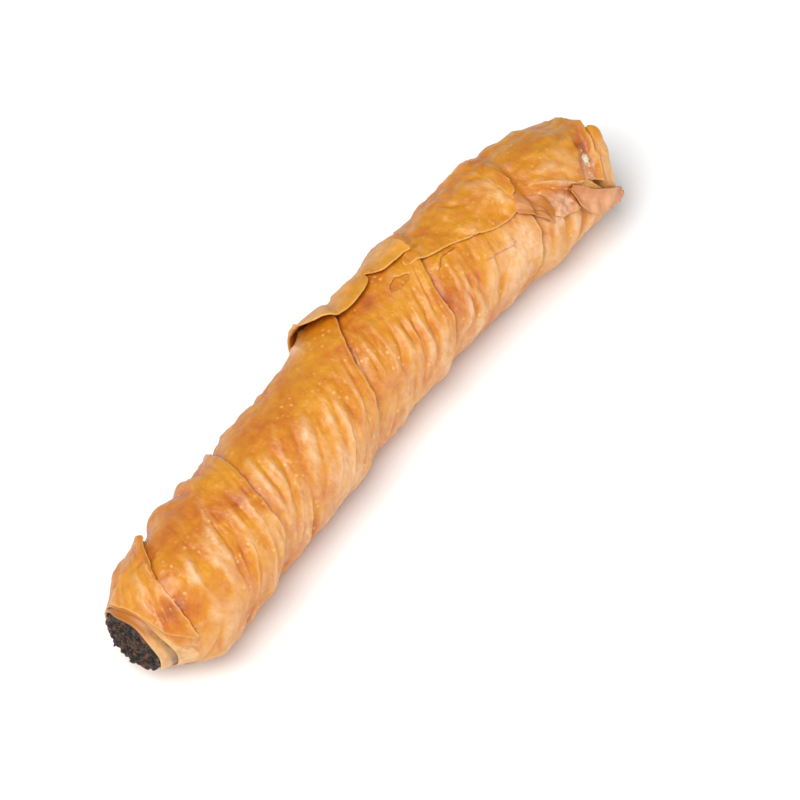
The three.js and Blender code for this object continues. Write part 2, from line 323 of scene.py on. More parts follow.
def fold_height(x, angle, folds):
    """Soft ridges and troughs, each along a line from one place to another."""
    x = x + FOLD_WANDER * noise_on_roll(x, angle, spacing=7.0, seed=41.0)
    total = np.zeros(np.shape(x))
    for x0, start, x1, end, width, height in folds:
        turned = angle - math.radians((start + end) / 2)
        from_x = x - (x0 + x1) / 2
        near = (np.abs(from_x) < FOLD_REACH) & (np.cos(turned) > FOLD_SWEEP)
        around = ROLL_RADIUS * np.arctan2(np.sin(turned[near]), np.cos(turned[near]))
        half_x = (x1 - x0) / 2
        half_s = ROLL_RADIUS * math.radians(end - start) / 2
        half = math.hypot(half_x, half_s)
        along = (from_x[near] * half_x + around * half_s) / half
        across = (around * half_x - from_x[near] * half_s) / half
        past = np.maximum(np.abs(along) - FOLD_CORE * half, 0.0) / FOLD_FADE
        from_crest = np.hypot(across / width, CREST_ROUNDING) - CREST_ROUNDING
        total[near] += FOLD_SHARE * height * np.exp(-CREST_FALL * from_crest - past**2)
    return total


print(len(FOLDS), "folds")

# %% Small creases of the strip
CREASE_COUNT = 110
FRONT_TURN = 0.3  # radians by which the middle of the front lies below the roll's axis


def front_share(angle):
    """1 in the middle of the front and 0 at the back."""
    return 0.5 + 0.5 * np.sin(angle - FRONT_TURN)


crease_draw = random.Random(7)
creases = []
for _ in range(CREASE_COUNT):
    turn = crease_draw.uniform(-0.2, 5.7)
    beside_edge = crease_draw.random() < 0.3
    creases.append({
        "turn": turn,
        "inside": crease_draw.uniform(1.4, 5.0) if beside_edge else crease_draw.uniform(3.0, 40.0),
        "lean": crease_draw.uniform(-0.14, 0.14),
        "bend": crease_draw.uniform(-0.003, 0.003),
        "length": crease_draw.uniform(4.0, 14.0),
        "width": crease_draw.uniform(0.3, 0.7),
        "depth": crease_draw.uniform(0.15, 0.5) * (0.3 + 0.7 * front_share(angle_at(turn))),
    })
print(len(creases), "creases")

# %% The wrinkles as a whole
WRINKLE_DROP = 0.15  # what the wrinkles add on average
PATCH_CONTRAST = 1.7
BROAD_PUFF = 0.7
FINE_PUFF = 0.28
CREASE_REACH = 2.2  # of a crease's length
SHOULDER_AT = 2.4  # of its width, to one side
SHOULDER_WIDTH = 1.5  # of its width
SHOULDER_SHARE = 0.7


def patches(x, angle, faintest, variation, spacing, seed):
    """A share that changes slowly over the roll, from faintest upwards."""
    return faintest + variation * smooth(0.5 + PATCH_CONTRAST * noise_on_roll(x, angle, spacing, seed))


def puffs(turn, inside, across, along, seed):
    """Puffy folds with sharp valleys between them, stretched along the strip."""
    places = np.stack((inside / across + seed, turn * ROLL_GIRTH / along, 0 * turn + 0.37 * seed), axis=-1)
    flat = places.reshape(-1, 3).tolist()
    return np.abs(np.array([noise.noise(place) for place in flat])).reshape(np.shape(turn))


def wrinkle_height(turn, inside):
    """Height of the wrinkles on the strip, from the turn and the distance in from its free edge."""
    x = edge_at(turn) - inside
    angle = angle_at(turn)
    front = front_share(angle)
    lively = patches(x, angle, faintest=0.3, variation=1.3, spacing=21.0, seed=17.0)
    broken = patches(x, angle, faintest=0.4, variation=0.95, spacing=9.0, seed=53.0)
    drift = 2.2 * noise_along(turn * 5.0, seed=2.9)
    drift = drift + 3.5 * noise_on_roll(x, angle, spacing=13.0, seed=23.0)
    broad = lively * puffs(turn, inside + drift, across=6.5, along=21.0, seed=11.0)
    fine = puffs(turn, inside + 0.6 * drift, across=2.8, along=10.0, seed=31.0)
    total = BROAD_PUFF * broad * (0.35 + 0.65 * front) + FINE_PUFF * fine * (0.45 + 0.55 * front)
    total += broken * fold_height(x, angle, FOLDS)
    for crease in creases:
        along = (turn - crease["turn"]) * ROLL_GIRTH
        near = np.abs(along) < CREASE_REACH * crease["length"]
        along = along[near]
        across = inside[near] - crease["inside"] - crease["lean"] * along - crease["bend"] * along**2
        fade = crease["depth"] * np.exp(-((along / crease["length"]) ** 2))
        width = crease["width"]
        valley = np.exp(-np.abs(across) / width)
        shoulder = np.exp(-(((across - SHOULDER_AT * width) / (SHOULDER_WIDTH * width)) ** 2))
        total[near] += fade * (SHOULDER_SHARE * shoulder - valley)
    return total - WRINKLE_DROP


second_turn = (np.array([2.0, 2.1, 2.2]), np.array([4.0, 4.0, 4.0]))
print("wrinkles on the second turn:", np.round(wrinkle_height(*second_turn), 2), "mm")

# %% [markdown]
# ## The surface of the strip
# Each turn starts under the turn before it and climbs over its own width to a free edge that stands a
# little proud. The free edge wanders and curls by different amounts, and near the first mouth one corner
# stands right up, like an ear.

# %% How free edges wander and seams dip
SEAM_DIPS = (
    (0.0, 0.5), (0.2, 0.7), (0.6, 0.4), (0.8, 1.0), (0.95, 0.9), (1.15, 0.9), (1.5, 0.4), (1.8, 1.2),
    (1.9, 1.1), (2.1, 1.2), (2.3, 0.7), (2.6, 0.4), (2.8, 1.4), (2.9, 1.2), (3.05, 1.2), (3.3, 0.5),
    (3.75, 1.3), (3.95, 1.3), (4.1, 0.6), (6.0, 0.3),
)
DIP_WIDTH = 2.4
DIP_SHARE = 0.8


def edge_wander(turn):
    """Slow and quick bends of the free edge along the roll."""
    return 0.9 * noise_along(turn * 8.0, seed=1.7) + 0.4 * noise_along(turn * 37.0, seed=5.2)


def seam_dip(turn, x):
    """How deep a turn is pressed down just beyond the free edge that lies on it."""
    beyond = np.maximum(x - edge_at(turn - 1), 0.0)
    return DIP_SHARE * np.interp(turn - 1, *zip(*SEAM_DIPS)) * np.exp(-((beyond / DIP_WIDTH) ** 2))


print("the second seam dips", np.round(seam_dip(3.0, edge_at(2.0)), 2), "mm")

# %% Height of the strip's outer face
SHEET = 0.45  # thickness of the dough
EDGE_STEP = 1.2
EDGE_DROOP = 0.3
DROOP_WIDTH = 0.7
LAP = 6.0  # how far a turn runs in under the one before it
TUCK_LENGTH = 1.8
TUCK_GAP = 0.12
CURL_WIDTH = 4.0
EAR_TURN = 0.27
EAR_SPREAD = 0.05
EAR_LIFT = 2.0
EAR_WIDTH = 8.0
EAR_ROLL = 0.4  # how far the edge of the ear turns down again
LEAST_CURL = 0.1
CURL_VARIATION = 0.9
PEBBLE_HEIGHT = 0.22


def open_surface(turn, x):
    """The outer face of a turn where nothing lies on it."""
    angle = angle_at(turn)
    own = edge_at(turn)
    before = edge_at(turn - 1)
    inside = own - x
    share = (x - before) / (own - before)
    climb = EDGE_STEP * smooth(share) * (0.9 + 0.5 * noise_along(turn * 4.0, seed=6.6))
    curl = LEAST_CURL + CURL_VARIATION * np.maximum(0.0, noise_along(turn * 5.0, seed=8.4))
    curl_up = curl * np.clip(1 - inside / CURL_WIDTH, 0.0, 1.0) ** 2
    in_ear = np.exp(-(((turn - EAR_TURN) / EAR_SPREAD) ** 2))
    ear_up = EAR_LIFT * in_ear * smooth(1 - inside / EAR_WIDTH)
    droop = (EDGE_DROOP + EAR_ROLL * in_ear) * np.exp(-((inside / DROOP_WIDTH) ** 2))
    pebbles = PEBBLE_HEIGHT * noise_on_roll(x, angle, spacing=2.4, seed=12.0)
    lifted = climb + curl_up + ear_up - droop + wrinkle_height(turn, inside) + pebbles
    return roll_radius(x) + swell(x, angle) + lifted - seam_dip(turn, x)


def strip_surface(turn, x):
    """The outer face of a turn, tucked close under the turn before it."""
    radius = open_surface(turn, x)
    tucked = smooth((edge_at(turn - 1) - x) / TUCK_LENGTH)
    under = tucked > 0
    roof = open_surface(turn[under] - 1, x[under]) - SHEET - TUCK_GAP
    radius[under] += (roof - radius[under]) * tucked[under]
    return radius


def wrap_height(x, angle):
    return open_surface(visible_turn(x, angle), x)


print("the dough on top, halfway along, is", np.round(wrap_height(*on_top), 2), "mm from the axis")

# %% [markdown]
# ## Where the oven browned it most
# The oven is never even. A few places are browner than the rest, and each is a soft spot with a distance
# along the roll, an angle, a size and a strength. The finishes read the sum as a mark on the vertices.
# A second list of such spots, and the low front that faces the soft box, get a painted sheen: paler,
# pinker colour that stands in for the light they catch.

# %% Browned places and spots of painted sheen
BROWNED = (
    (34, -13, 9, 0.9), (64, -16, 6, 0.7), (47, 10, 6, 0.6), (25, -28, 6, 0.8), (7, 30, 6, 0.9),
    (14, -38, 5, 0.6), (73, 20, 8, 0.5), (103, 3, 5, 0.5), (118, -12, 8, 0.5), (128, -14, 6, 0.6),
    (139, 40, 6, 0.5), (180, 33, 5, 0.5), (187, 47, 5, 2.8), (176, -18, 8, 0.4), (95, -11, 10, -0.5),
    (140, 15, 12, -0.4), (158, 50, 14, -0.4), (90, 150, 30, 0.7), (150, 170, 40, 0.8),
    (40, 180, 30, 0.8), (195, -25, 14, -0.5), (187, 74, 9, -0.9),
)
# Spots of painted sheen, in the same four columns.
SHEEN_SPOTS = (
    (196, 20, 7, 0.5), (188, 48, 6, 0.5), (184, 42, 5, 0.4), (168, 46, 9, 0.45), (166, 62, 8, 0.3),
    (4, -25, 4, 0.1), (4, 8, 4, 0.1), (47, 44, 6, 0.3), (82, 62, 8, 0.3),
)
FRONT_SINE = 0.72  # the sine of the angle where the painted sheen on the lit low front begins
FRONT_SHEEN = 0.25


def browned(x, angle):
    return soft_spots(x, angle, BROWNED)


# Painted sheen: how much of it the spots and the lit low front get.
def painted_sheen(x, angle):
    low_front = smooth((np.sin(angle) - FRONT_SINE) / (1 - FRONT_SINE))
    return soft_spots(x, angle, SHEEN_SPOTS) + FRONT_SHEEN * low_front


print(len(BROWNED), "browned places and", len(SHEEN_SPOTS), "dried ones")

# %% [markdown]
# ## Finishes
# The crust is golden orange with browner and paler clouds, tiny pale blisters and a thin pale line where a
# sheet's cut edge shows, which is partly a painted highlight. Light and shade are painted on it too: a pale
# sheen on the wrinkle ridges, on a few spots and on the lit low front, lighter ridges and darker valleys,
# and painted shade just beyond free edges and in cracks. What two finishes share is a node group, so it is
# built once. All of it is made from the piece's own coordinates, in metres, and from attributes that the
# sheets carry.

# %% Helpers for nodes and materials
def add_node(tree, kind, inputs=(), **settings):
    node = tree.nodes.new(kind)
    for name, value in settings.items():
        setattr(node, name, value)
    for name, value in dict(inputs).items():
        if isinstance(value, bpy.types.NodeSocket):
            tree.links.new(value, node.inputs[name])
        else:
            node.inputs[name].default_value = value
    return node


def new_material(name):
    material = bpy.data.materials.new(name)
    material.use_nodes = True
    tree = material.node_tree
    shader = tree.nodes["Principled BSDF"]
    return material, tree, shader


def attribute(tree, name):
    return add_node(tree, "ShaderNodeAttribute", attribute_name=name).outputs["Fac"]


def math_node(tree, operation, first, second):
    return add_node(tree, "ShaderNodeMath", {0: first, 1: second}, operation=operation).outputs[0]


def multiply_add(tree, value, factor, added):
    node = add_node(tree, "ShaderNodeMath", {0: value, 1: factor, 2: added}, operation="MULTIPLY_ADD")
    return node.outputs[0]


def blend(tree, share, first, second):
    node = add_node(tree, "ShaderNodeMix", {"Factor": share}, data_type="RGBA")
    for socket, value in ((node.inputs[6], first), (node.inputs[7], second)):
        if isinstance(value, bpy.types.NodeSocket):
            tree.links.new(value, socket)
        else:
            socket.default_value = (*value, 1.0)
    return node.outputs[2]


def ramp(tree, value, *stops):
    node = add_node(tree, "ShaderNodeValToRGB", {"Fac": value})
    while len(node.color_ramp.elements) < len(stops):
        node.color_ramp.elements.new(0.5)
    for element, (place, colour) in zip(node.color_ramp.elements, stops):
        element.position = place
        element.color = (*colour, 1.0)
    return node.outputs["Color"]


def remap(tree, value, low, high, to_low=0.0, to_high=1.0):
    node = add_node(tree, "ShaderNodeMapRange", {
        "Value": value, "From Min": low, "From Max": high, "To Min": to_low, "To Max": to_high,
    })
    return node.outputs["Result"]


def noise_node(tree, place, scale, detail, roughness=0.5, distortion=0.0):
    node = add_node(tree, "ShaderNodeTexNoise", {
        "Vector": place, "Scale": scale, "Detail": detail,
        "Roughness": roughness, "Distortion": distortion,
    })
    return node.outputs["Fac"]


def add_bump(tree, shader, height, strength, distance):
    bump = add_node(tree, "ShaderNodeBump", {"Height": height, "Strength": strength, "Distance": distance})
    tree.links.new(bump.outputs["Normal"], shader.inputs["Normal"])


# %% A node group for what the oven does to dough
CLOUD_SIZE = 70.0  # all sizes here are scales, in cells to a metre
MOTTLE_FINENESS = 3.4  # against the clouds
BLISTER_SIZE = 560.0
BLISTER_PATCH_SIZE = 95.0
GRAIN_SIZE = 900.0
PEEL_SIZE = 390.0
PEEL_STRETCH = (1.3, 0.9, 0.9)


def baked_group():
    tree = bpy.data.node_groups.new("Baked dough", "ShaderNodeTree")
    for name in ("Clouds", "Blisters", "Grain", "Peel"):
        tree.interface.new_socket(name, in_out="OUTPUT", socket_type="NodeSocketFloat")
    size = tree.interface.new_socket("Cloud size", in_out="INPUT", socket_type="NodeSocketFloat")
    size.default_value = CLOUD_SIZE
    cloud_size = tree.nodes.new("NodeGroupInput").outputs["Cloud size"]
    made = tree.nodes.new("NodeGroupOutput")
    place = add_node(tree, "ShaderNodeTexCoord").outputs["Object"]
    clouds = noise_node(tree, place, cloud_size, detail=4.0, roughness=0.6, distortion=0.6)
    mottle_size = math_node(tree, "MULTIPLY", cloud_size, MOTTLE_FINENESS)
    mottle = noise_node(tree, place, mottle_size, detail=5.0, roughness=0.66, distortion=0.3)
    cloudy = multiply_add(tree, clouds, 0.55, math_node(tree, "MULTIPLY", mottle, 0.45))
    spots = add_node(tree, "ShaderNodeTexVoronoi", {"Vector": place, "Scale": BLISTER_SIZE})
    spots.inputs["Randomness"].default_value = 1.0
    lot = add_node(tree, "ShaderNodeSeparateColor", {"Color": spots.outputs["Color"]}).outputs["Red"]
    dots = remap(tree, spots.outputs["Distance"], 0.40, 0.12)
    chosen = math_node(tree, "MULTIPLY", dots, remap(tree, lot, 0.45, 1.0))
    where = noise_node(tree, place, BLISTER_PATCH_SIZE, detail=2.0)
    blisters = math_node(tree, "MULTIPLY", chosen, remap(tree, where, 0.44, 0.62))
    grain = noise_node(tree, place, GRAIN_SIZE, detail=4.0, roughness=0.7)
    stretched = add_node(tree, "ShaderNodeVectorMath", {0: place, 1: PEEL_STRETCH}, operation="MULTIPLY")
    peel_place = stretched.outputs["Vector"]
    peel = noise_node(tree, peel_place, PEEL_SIZE, detail=4.0, roughness=0.6, distortion=0.6)
    for name, value in (("Clouds", cloudy), ("Blisters", blisters), ("Grain", grain), ("Peel", peel)):
        tree.links.new(value, made.inputs[name])
    return tree


BAKED = baked_group()
print("node group:", BAKED.name)

# %% Golden crust
# The colour of the painted sheen.
SHEEN_COLOUR = (0.69, 0.405, 0.215)
BLISTER_COLOUR = (0.80, 0.46, 0.13)
# The pale cut edge of a sheet, partly a painted highlight.
CUT_EDGE_AND_HIGHLIGHT = (0.72, 0.38, 0.11)


def crust_finish():
    material, tree, shader = new_material("golden_crust")
    baked = add_node(tree, "ShaderNodeGroup", node_tree=BAKED).outputs
    crease = attribute(tree, "crease")
    # The crease mark follows the height of the wrinkles, so the clouds are shifted lighter on the ridges
    # and darker in the valleys: painted light and shade.
    clouds_and_ridge_light = multiply_add(tree, crease, 0.10, baked["Clouds"])
    # The toast mark is browning, and in places painted light and shade: painted shade beyond free edges and
    # in cracks, and painted light below zero, as on the long flap and the far lip.
    toast_and_shading = multiply_add(tree, attribute(tree, "toast_and_shading"), -0.13, clouds_and_ridge_light)
    colour = ramp(
        tree, toast_and_shading,
        (0.18, (0.28, 0.055, 0.010)), (0.32, (0.45, 0.112, 0.008)), (0.43, (0.53, 0.163, 0.006)),
        (0.54, (0.58, 0.218, 0.006)), (0.66, (0.65, 0.275, 0.016)), (0.80, (0.86, 0.365, 0.05)),
    )
    # Painted sheen: the wrinkle ridges, the sheen spots and the lit front are blended towards a pale
    # pinkish colour, broken up by the peel noise.
    broken = remap(tree, baked["Peel"], 0.38, 0.60, to_low=0.3, to_high=0.9)
    ridge_sheen = math_node(tree, "MULTIPLY", remap(tree, crease, 0.18, 0.85), broken)
    colour = blend(tree, ridge_sheen, colour, SHEEN_COLOUR)
    colour = blend(tree, math_node(tree, "MULTIPLY", baked["Blisters"], 0.9), colour, BLISTER_COLOUR)
    # The pale line along a free edge: partly the paler cut edge of the dough, partly a painted highlight.
    colour = blend(tree, math_node(tree, "MULTIPLY", attribute(tree, "rim"), 0.7), colour, CUT_EDGE_AND_HIGHLIGHT)
    tree.links.new(colour, shader.inputs["Base Color"])
    rough = remap(tree, baked["Grain"], 0.3, 0.7, to_low=0.36, to_high=0.50)
    tree.links.new(rough, shader.inputs["Roughness"])
    raised = multiply_add(tree, baked["Grain"], 0.3, baked["Peel"])
    relief = multiply_add(tree, baked["Blisters"], 0.35, raised)
    add_bump(tree, shader, relief, strength=0.4, distance=0.0008)
    shader.inputs["Specular IOR Level"].default_value = 0.6
    return material


CRUST = crust_finish()
print("finish:", CRUST.name)

# %% Dough that the oven dried more than it browned
FINE_CLOUDS = 160.0
STAIN = (0.14, 0.075, 0.03)
TOASTED_LIP = (0.42, 0.14, 0.012)


def dull_finish(name, deep, pale, palest):
    material, tree, shader = new_material(name)
    baked = add_node(tree, "ShaderNodeGroup", {"Cloud size": FINE_CLOUDS}, node_tree=BAKED).outputs
    colour = ramp(tree, baked["Clouds"], (0.34, deep), (0.62, pale))
    # The crease mark paints raised crumples paler, as a painted sheen, and gives the far layers their
    # palest colour.
    colour = blend(tree, attribute(tree, "crease"), colour, palest)
    cloudy = remap(tree, baked["Clouds"], 0.3, 0.6)
    colour = blend(tree, math_node(tree, "MULTIPLY", attribute(tree, "stain"), cloudy), colour, STAIN)
    colour = blend(tree, attribute(tree, "toast_and_shading"), colour, TOASTED_LIP)
    # The pale line along a free edge, partly a painted highlight.
    colour = blend(tree, math_node(tree, "MULTIPLY", attribute(tree, "rim"), 0.5), colour, palest)
    tree.links.new(colour, shader.inputs["Base Color"])
    add_bump(tree, shader, baked["Grain"], strength=0.3, distance=0.0003)
    shader.inputs["Roughness"].default_value = 0.45
    return material


INNER_DOUGH = dull_finish("pale_inner_dough", (0.50, 0.24, 0.08), (0.74, 0.42, 0.17), (0.86, 0.51, 0.16))
DUSKY_DOUGH = dull_finish("dusky_dough", (0.47, 0.145, 0.04), (0.60, 0.25, 0.09), (0.68, 0.34, 0.15))
print("finishes:", INNER_DOUGH.name, DUSKY_DOUGH.name)

# %% Dark filling and white cheese
def filling_finish():
    material, tree, shader = new_material("spinach_filling")
    place = add_node(tree, "ShaderNodeTexCoord").outputs["Object"]
    leaf = noise_node(tree, place, 420.0, detail=5.0, roughness=0.65)
    warm = noise_node(tree, place, 230.0, detail=2.0)
    colour = ramp(
        tree, leaf,
        (0.36, (0.006, 0.004, 0.003)), (0.50, (0.030, 0.019, 0.013)), (0.66, (0.11, 0.068, 0.046)),
    )
    colour = blend(tree, remap(tree, warm, 0.53, 0.66), colour, (0.17, 0.055, 0.024))
    tree.links.new(colour, shader.inputs["Base Color"])
    add_bump(tree, shader, leaf, strength=0.6, distance=0.0006)
    shader.inputs["Roughness"].default_value = 0.5
    shader.inputs["Specular IOR Level"].default_value = 0.3
    return material


def leaf_finish():
    material, tree, shader = new_material("cooked_leaf")
    colour = ramp(
        tree, attribute(tree, "toast_and_shading"),
        (0.0, (0.010, 0.009, 0.007)), (0.35, (0.035, 0.026, 0.018)), (0.8, (0.16, 0.055, 0.022)),
    )
    tree.links.new(colour, shader.inputs["Base Color"])
    shader.inputs["Roughness"].default_value = 0.4
    return material


def cheese_finish():
    material, tree, shader = new_material("white_cheese")
    place = add_node(tree, "ShaderNodeTexCoord").outputs["Object"]
    curd = noise_node(tree, place, 1500.0, detail=3.0)
    colour = ramp(tree, curd, (0.35, (0.52, 0.45, 0.28)), (0.60, (0.67, 0.61, 0.44)))
    tree.links.new(colour, shader.inputs["Base Color"])
    add_bump(tree, shader, curd, strength=0.4, distance=0.0003)
    shader.inputs["Roughness"].default_value = 0.6
    return material


SPINACH = filling_finish()
LEAF = leaf_finish()
CHEESE = cheese_finish()
print("finishes:", SPINACH.name, LEAF.name, CHEESE.name)

# %% [markdown]
# ## From a flat grid to a sheet of dough
# Every sheet is made the same way. The grid operator gives the faces, a function moves each vertex to its
# place on the roll, and a Solidify modifier gives the thickness inwards. Marks such as the pale cut edge,
# which is partly a painted highlight, and the painted light and shade are stored on the vertices, where
# the finishes read them.

# %% Tear a hole in a sheet
EDGE_ROUNDS = 5


def tear_open(bm, torn):
    """Takes the torn vertices away and evens out the edge that is left."""
    bm.verts.ensure_lookup_table()
    lost = [bm.verts[i] for i in np.flatnonzero(torn)]
    edge = {vert for gone in lost for face in gone.link_faces for vert in face.verts} - set(lost)
    bmesh.ops.delete(bm, geom=lost, context="VERTS")
    for _ in range(EDGE_ROUNDS):
        moved = {}
        for vert in edge:
            beside = [link.other_vert(vert).co for link in vert.link_edges if link.is_boundary]
            if len(beside) == 2:
                moved[vert] = 0.5 * vert.co + 0.25 * (beside[0] + beside[1])
        for vert, place in moved.items():
            vert.co = place


# %% Bend a grid
MARKS = ("rim", "crease", "stain", "toast_and_shading")


def grid_mesh(columns, rows, place, closed=False):
    """A grid of columns by rows, moved by place(across, along), which gives points and marks."""
    bm = bmesh.new()
    bmesh.ops.create_grid(bm, x_segments=columns, y_segments=rows, size=0.5)
    flat = np.array([vert.co[:2] for vert in bm.verts]) + 0.5
    shape = (rows + 1, columns + 1)
    points, marks = place(flat[:, 0].reshape(shape), flat[:, 1].reshape(shape))
    layers = {name: bm.verts.layers.float.new(name) for name in MARKS}
    torn = np.ravel(marks.pop("torn", np.zeros(shape))) > 0.5
    for vert, point in zip(bm.verts, points.reshape(-1, 3)):
        vert.co = point
    for name, values in marks.items():
        for vert, value in zip(bm.verts, np.ravel(values)):
            vert[layers[name]] = value
    if torn.any():
        tear_open(bm, torn)
    if closed:
        bmesh.ops.remove_doubles(bm, verts=bm.verts, dist=0.01 * MM)
        bmesh.ops.dissolve_degenerate(bm, edges=bm.edges, dist=0.01 * MM)
    return bm


# %% Turn a sheet the right way out
def face_outwards(bm):
    """Turns the sheet over if its faces look at the roll's axis."""
    bm.normal_update()
    looks = 0.0
    for face in bm.faces:
        centre = np.array(face.calc_center_median()) - shift
        x = centre[0] / MM + ROLL_LENGTH / 2
        out = Vector((0.0, centre[1] - MM * float(swing(x)), centre[2] - MM * float(axis_height(x))))
        looks += face.normal.dot(out) * face.calc_area()
    if looks < 0:
        bmesh.ops.reverse_faces(bm, faces=bm.faces)


# %% Make a piece of a mesh
def finish_piece(name, bm, material, slot, thickness=None):
    mesh = bpy.data.meshes.new(name)
    bm.to_mesh(mesh)
    bm.free()
    mesh.shade_smooth()
    mesh.materials.append(material)
    piece = bpy.data.objects.new(name, mesh)
    bpy.context.scene.collection.objects.link(piece)
    if thickness:
        wall = piece.modifiers.new("dough thickness", "SOLIDIFY")
        wall.thickness = thickness * MM
        wall.offset = -1.0
    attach(piece, "root")
    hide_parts(slot)
    print(name, len(mesh.polygons), "faces")
    return piece


# %% [markdown]
# ## The wound strip
# The strip is too long for one piece, so it is laid in lengths of about one turn, as a baker would join
# sheets. The joints lie underneath. A turn's hidden part is kept off the tray by a hair, so that two
# layers never share one flat place.

# %% A small tear
TEAR_X = 132.3
TEAR_TURN = 3.14
TEAR_HALF_LENGTH = 3.6
TEAR_HALF_WIDTH = 1.5
TEAR_LEAN = 0.18
TEAR_POINTEDNESS = 1.3


def tear(x, turn):
    """Marks what a small ragged tear takes away."""
    along = x - TEAR_X
    around = (TEAR_TURN - turn) * ROLL_GIRTH - TEAR_LEAN * along
    bearing = np.arctan2(around / TEAR_HALF_WIDTH, along / TEAR_HALF_LENGTH)
    ragged = 1.05 + 0.12 * np.sin(3 * bearing + 1) + 0.1 * np.sin(7 * bearing)
    long_way = np.abs(along / TEAR_HALF_LENGTH) ** TEAR_POINTEDNESS
    return long_way + np.abs(around / TEAR_HALF_WIDTH) ** TEAR_POINTEDNESS < ragged


# %% Where the strip goes
HIDDEN_FLOOR = 0.55
RIM_WIDTH = 0.6
FIRST_TURN_END = 0.5
LEAST_WIDTH = 0.02
SEAM_SHADE = 1.2  # how dark the painted shade is just beyond a free edge, where the seam is pressed down


def strip_place(first, last):
    def place(across, along):
        turn = first + (last - first) * along
        angle = angle_at(turn)
        rim_at = np.where(turn < FIRST_TURN_END, first_turn_rim(angle), near_rim(angle))
        near = np.maximum(edge_at(turn - 1) - LAP, rim_at)
        far = np.minimum(edge_at(turn) + edge_wander(turn), far_rim(angle))
        far = np.maximum(far, near + LEAST_WIDTH)
        x = near + (far - near) * across
        before = edge_at(turn - 1)
        hidden = smooth((before - x) / LAP)
        radius = strip_surface(turn, x)
        rim = np.clip(1 - (far - x) / RIM_WIDTH, 0.0, 1.0)
        rim = np.maximum(rim, np.clip(1 - (x - rim_at) / RIM_WIDTH, 0.0, 1.0))
        # The crease mark: the height of the wrinkles, for painted light on the ridges and painted shade in
        # the valleys, plus the painted sheen.
        crease = (wrinkle_height(turn, edge_at(turn) - x) + WRINKLE_DROP) * (1 - hidden) + painted_sheen(x, angle)
        points = on_roll(x, angle, radius, HIDDEN_FLOOR * np.minimum(1.0, 4 * hidden))
        # Real browning, plus painted shade just beyond each free edge, where the turn is pressed down under
        # it.
        toast_and_shading = browned(x, angle) + SEAM_SHADE * seam_dip(turn, x)
        return points, {"rim": rim, "crease": crease, "toast_and_shading": toast_and_shading, "torn": tear(x, turn)}

    return place


# %% Lay the strip
STRIP_COLUMNS = 130
STRIP_ROWS_PER_TURN = 265
JOINT_TURN = 0.633
JOINTS = 5
scan = np.linspace(-0.4, 6.6, 2801)
starts = edge_at(scan) > first_turn_rim(angle_at(scan)) + 0.1
ends = edge_at(scan - 1) - LAP < far_rim(angle_at(scan)) - 0.3
strip_start = float(scan[np.argmax(starts)])
strip_end = float(scan[len(scan) - 1 - np.argmax(ends[::-1])])
joints = [strip_start, *(JOINT_TURN + number for number in range(JOINTS)), strip_end]
for number, (first, last) in enumerate(zip(joints[:-1], joints[1:]), start=1):
    rows = round((last - first) * STRIP_ROWS_PER_TURN)
    sheet = grid_mesh(STRIP_COLUMNS, rows, strip_place(first, last))
    face_outwards(sheet)
    finish_piece(f"wrap_strip_{number}", sheet, CRUST, "pastry", SHEET)
print("strip from turn", round(strip_start, 3), "to", round(strip_end, 3))

# %% [markdown]
# ## Dough under the strip
# A tear and the gaps under lifted edges show more dough below. One plain tube just under the strip closes
# them all, and a small sheet lies close under the tear.

# %% Lay the dough under the strip
UNDER_DROP = 3.2
UNDER_FLOOR = 1.2
UNDER_INSET = 3.0  # from both rims
UNDER_THICKNESS = 0.8


def tube_place(near, far, radius, rim_at=None, marks_at=None):
    """A tube round the roll. near, far and radius are functions of the angle, or of distance and angle."""

    def place(around, along):
        angle = TAU * around
        x = near(angle) + (far(angle) - near(angle)) * along
        marks = {} if marks_at is None else marks_at(x, angle)
        if rim_at is not None:
            pale = np.clip(1 - np.abs(x - rim_at(angle)) / RIM_WIDTH, 0.0, 1.0)
            marks["rim"] = pale * np.clip(1 - marks.get("toast_and_shading", 0.0), 0.0, 1.0)
        return on_roll(x, angle, radius(x, angle), UNDER_FLOOR), marks

    return place


def add_tube(name, columns, rows, place, material, slot, thickness):
    bm = grid_mesh(columns, rows, place, closed=True)
    face_outwards(bm)
    return finish_piece(name, bm, material, slot, thickness)


under = tube_place(
    lambda angle: near_rim(angle) + UNDER_INSET,
    lambda angle: far_rim(angle) - UNDER_INSET,
    lambda x, angle: roll_radius(x) + swell(x, angle) - UNDER_DROP,
)
add_tube("under_dough", 120, 180, under, CRUST, "pastry", UNDER_THICKNESS)

# %% [markdown]
# ## Loose sheets
# Scraps of dough lie over the strip: a long patch on top, a flap that stands off the back, and folded
# corners at the far end. Each is drawn by a few lines from its root to its free edge. The sheet is draped:
# it may rise above what it lies on but never sinks into it, so it bridges the steps of the strip below.

# %% Drape a sheet and crumple it
DRAPE_ROUNDS = 14
SCRAP_DROP = 0.25  # what a scrap's relief adds on average


def drape(height):
    hung = height
    for _ in range(DRAPE_ROUNDS):
        wide = np.pad(hung, 1, mode="edge")
        level = (wide[:-2, 1:-1] + wide[2:, 1:-1] + wide[1:-1, :-2] + wide[1:-1, 2:]) / 4
        hung = np.maximum(height, level)
    return hung


def scrap_relief(x, angle, seed):
    lumps = 0.9 * noise_on_roll(x, angle, spacing=9.0, seed=seed)
    pebbles = 0.4 * noise_on_roll(x, angle, spacing=2.4, seed=seed)
    ridges = 1.2 * np.abs(noise_on_roll(x, angle, spacing=5.5, seed=seed + 5))
    return lumps + pebbles + ridges - SCRAP_DROP


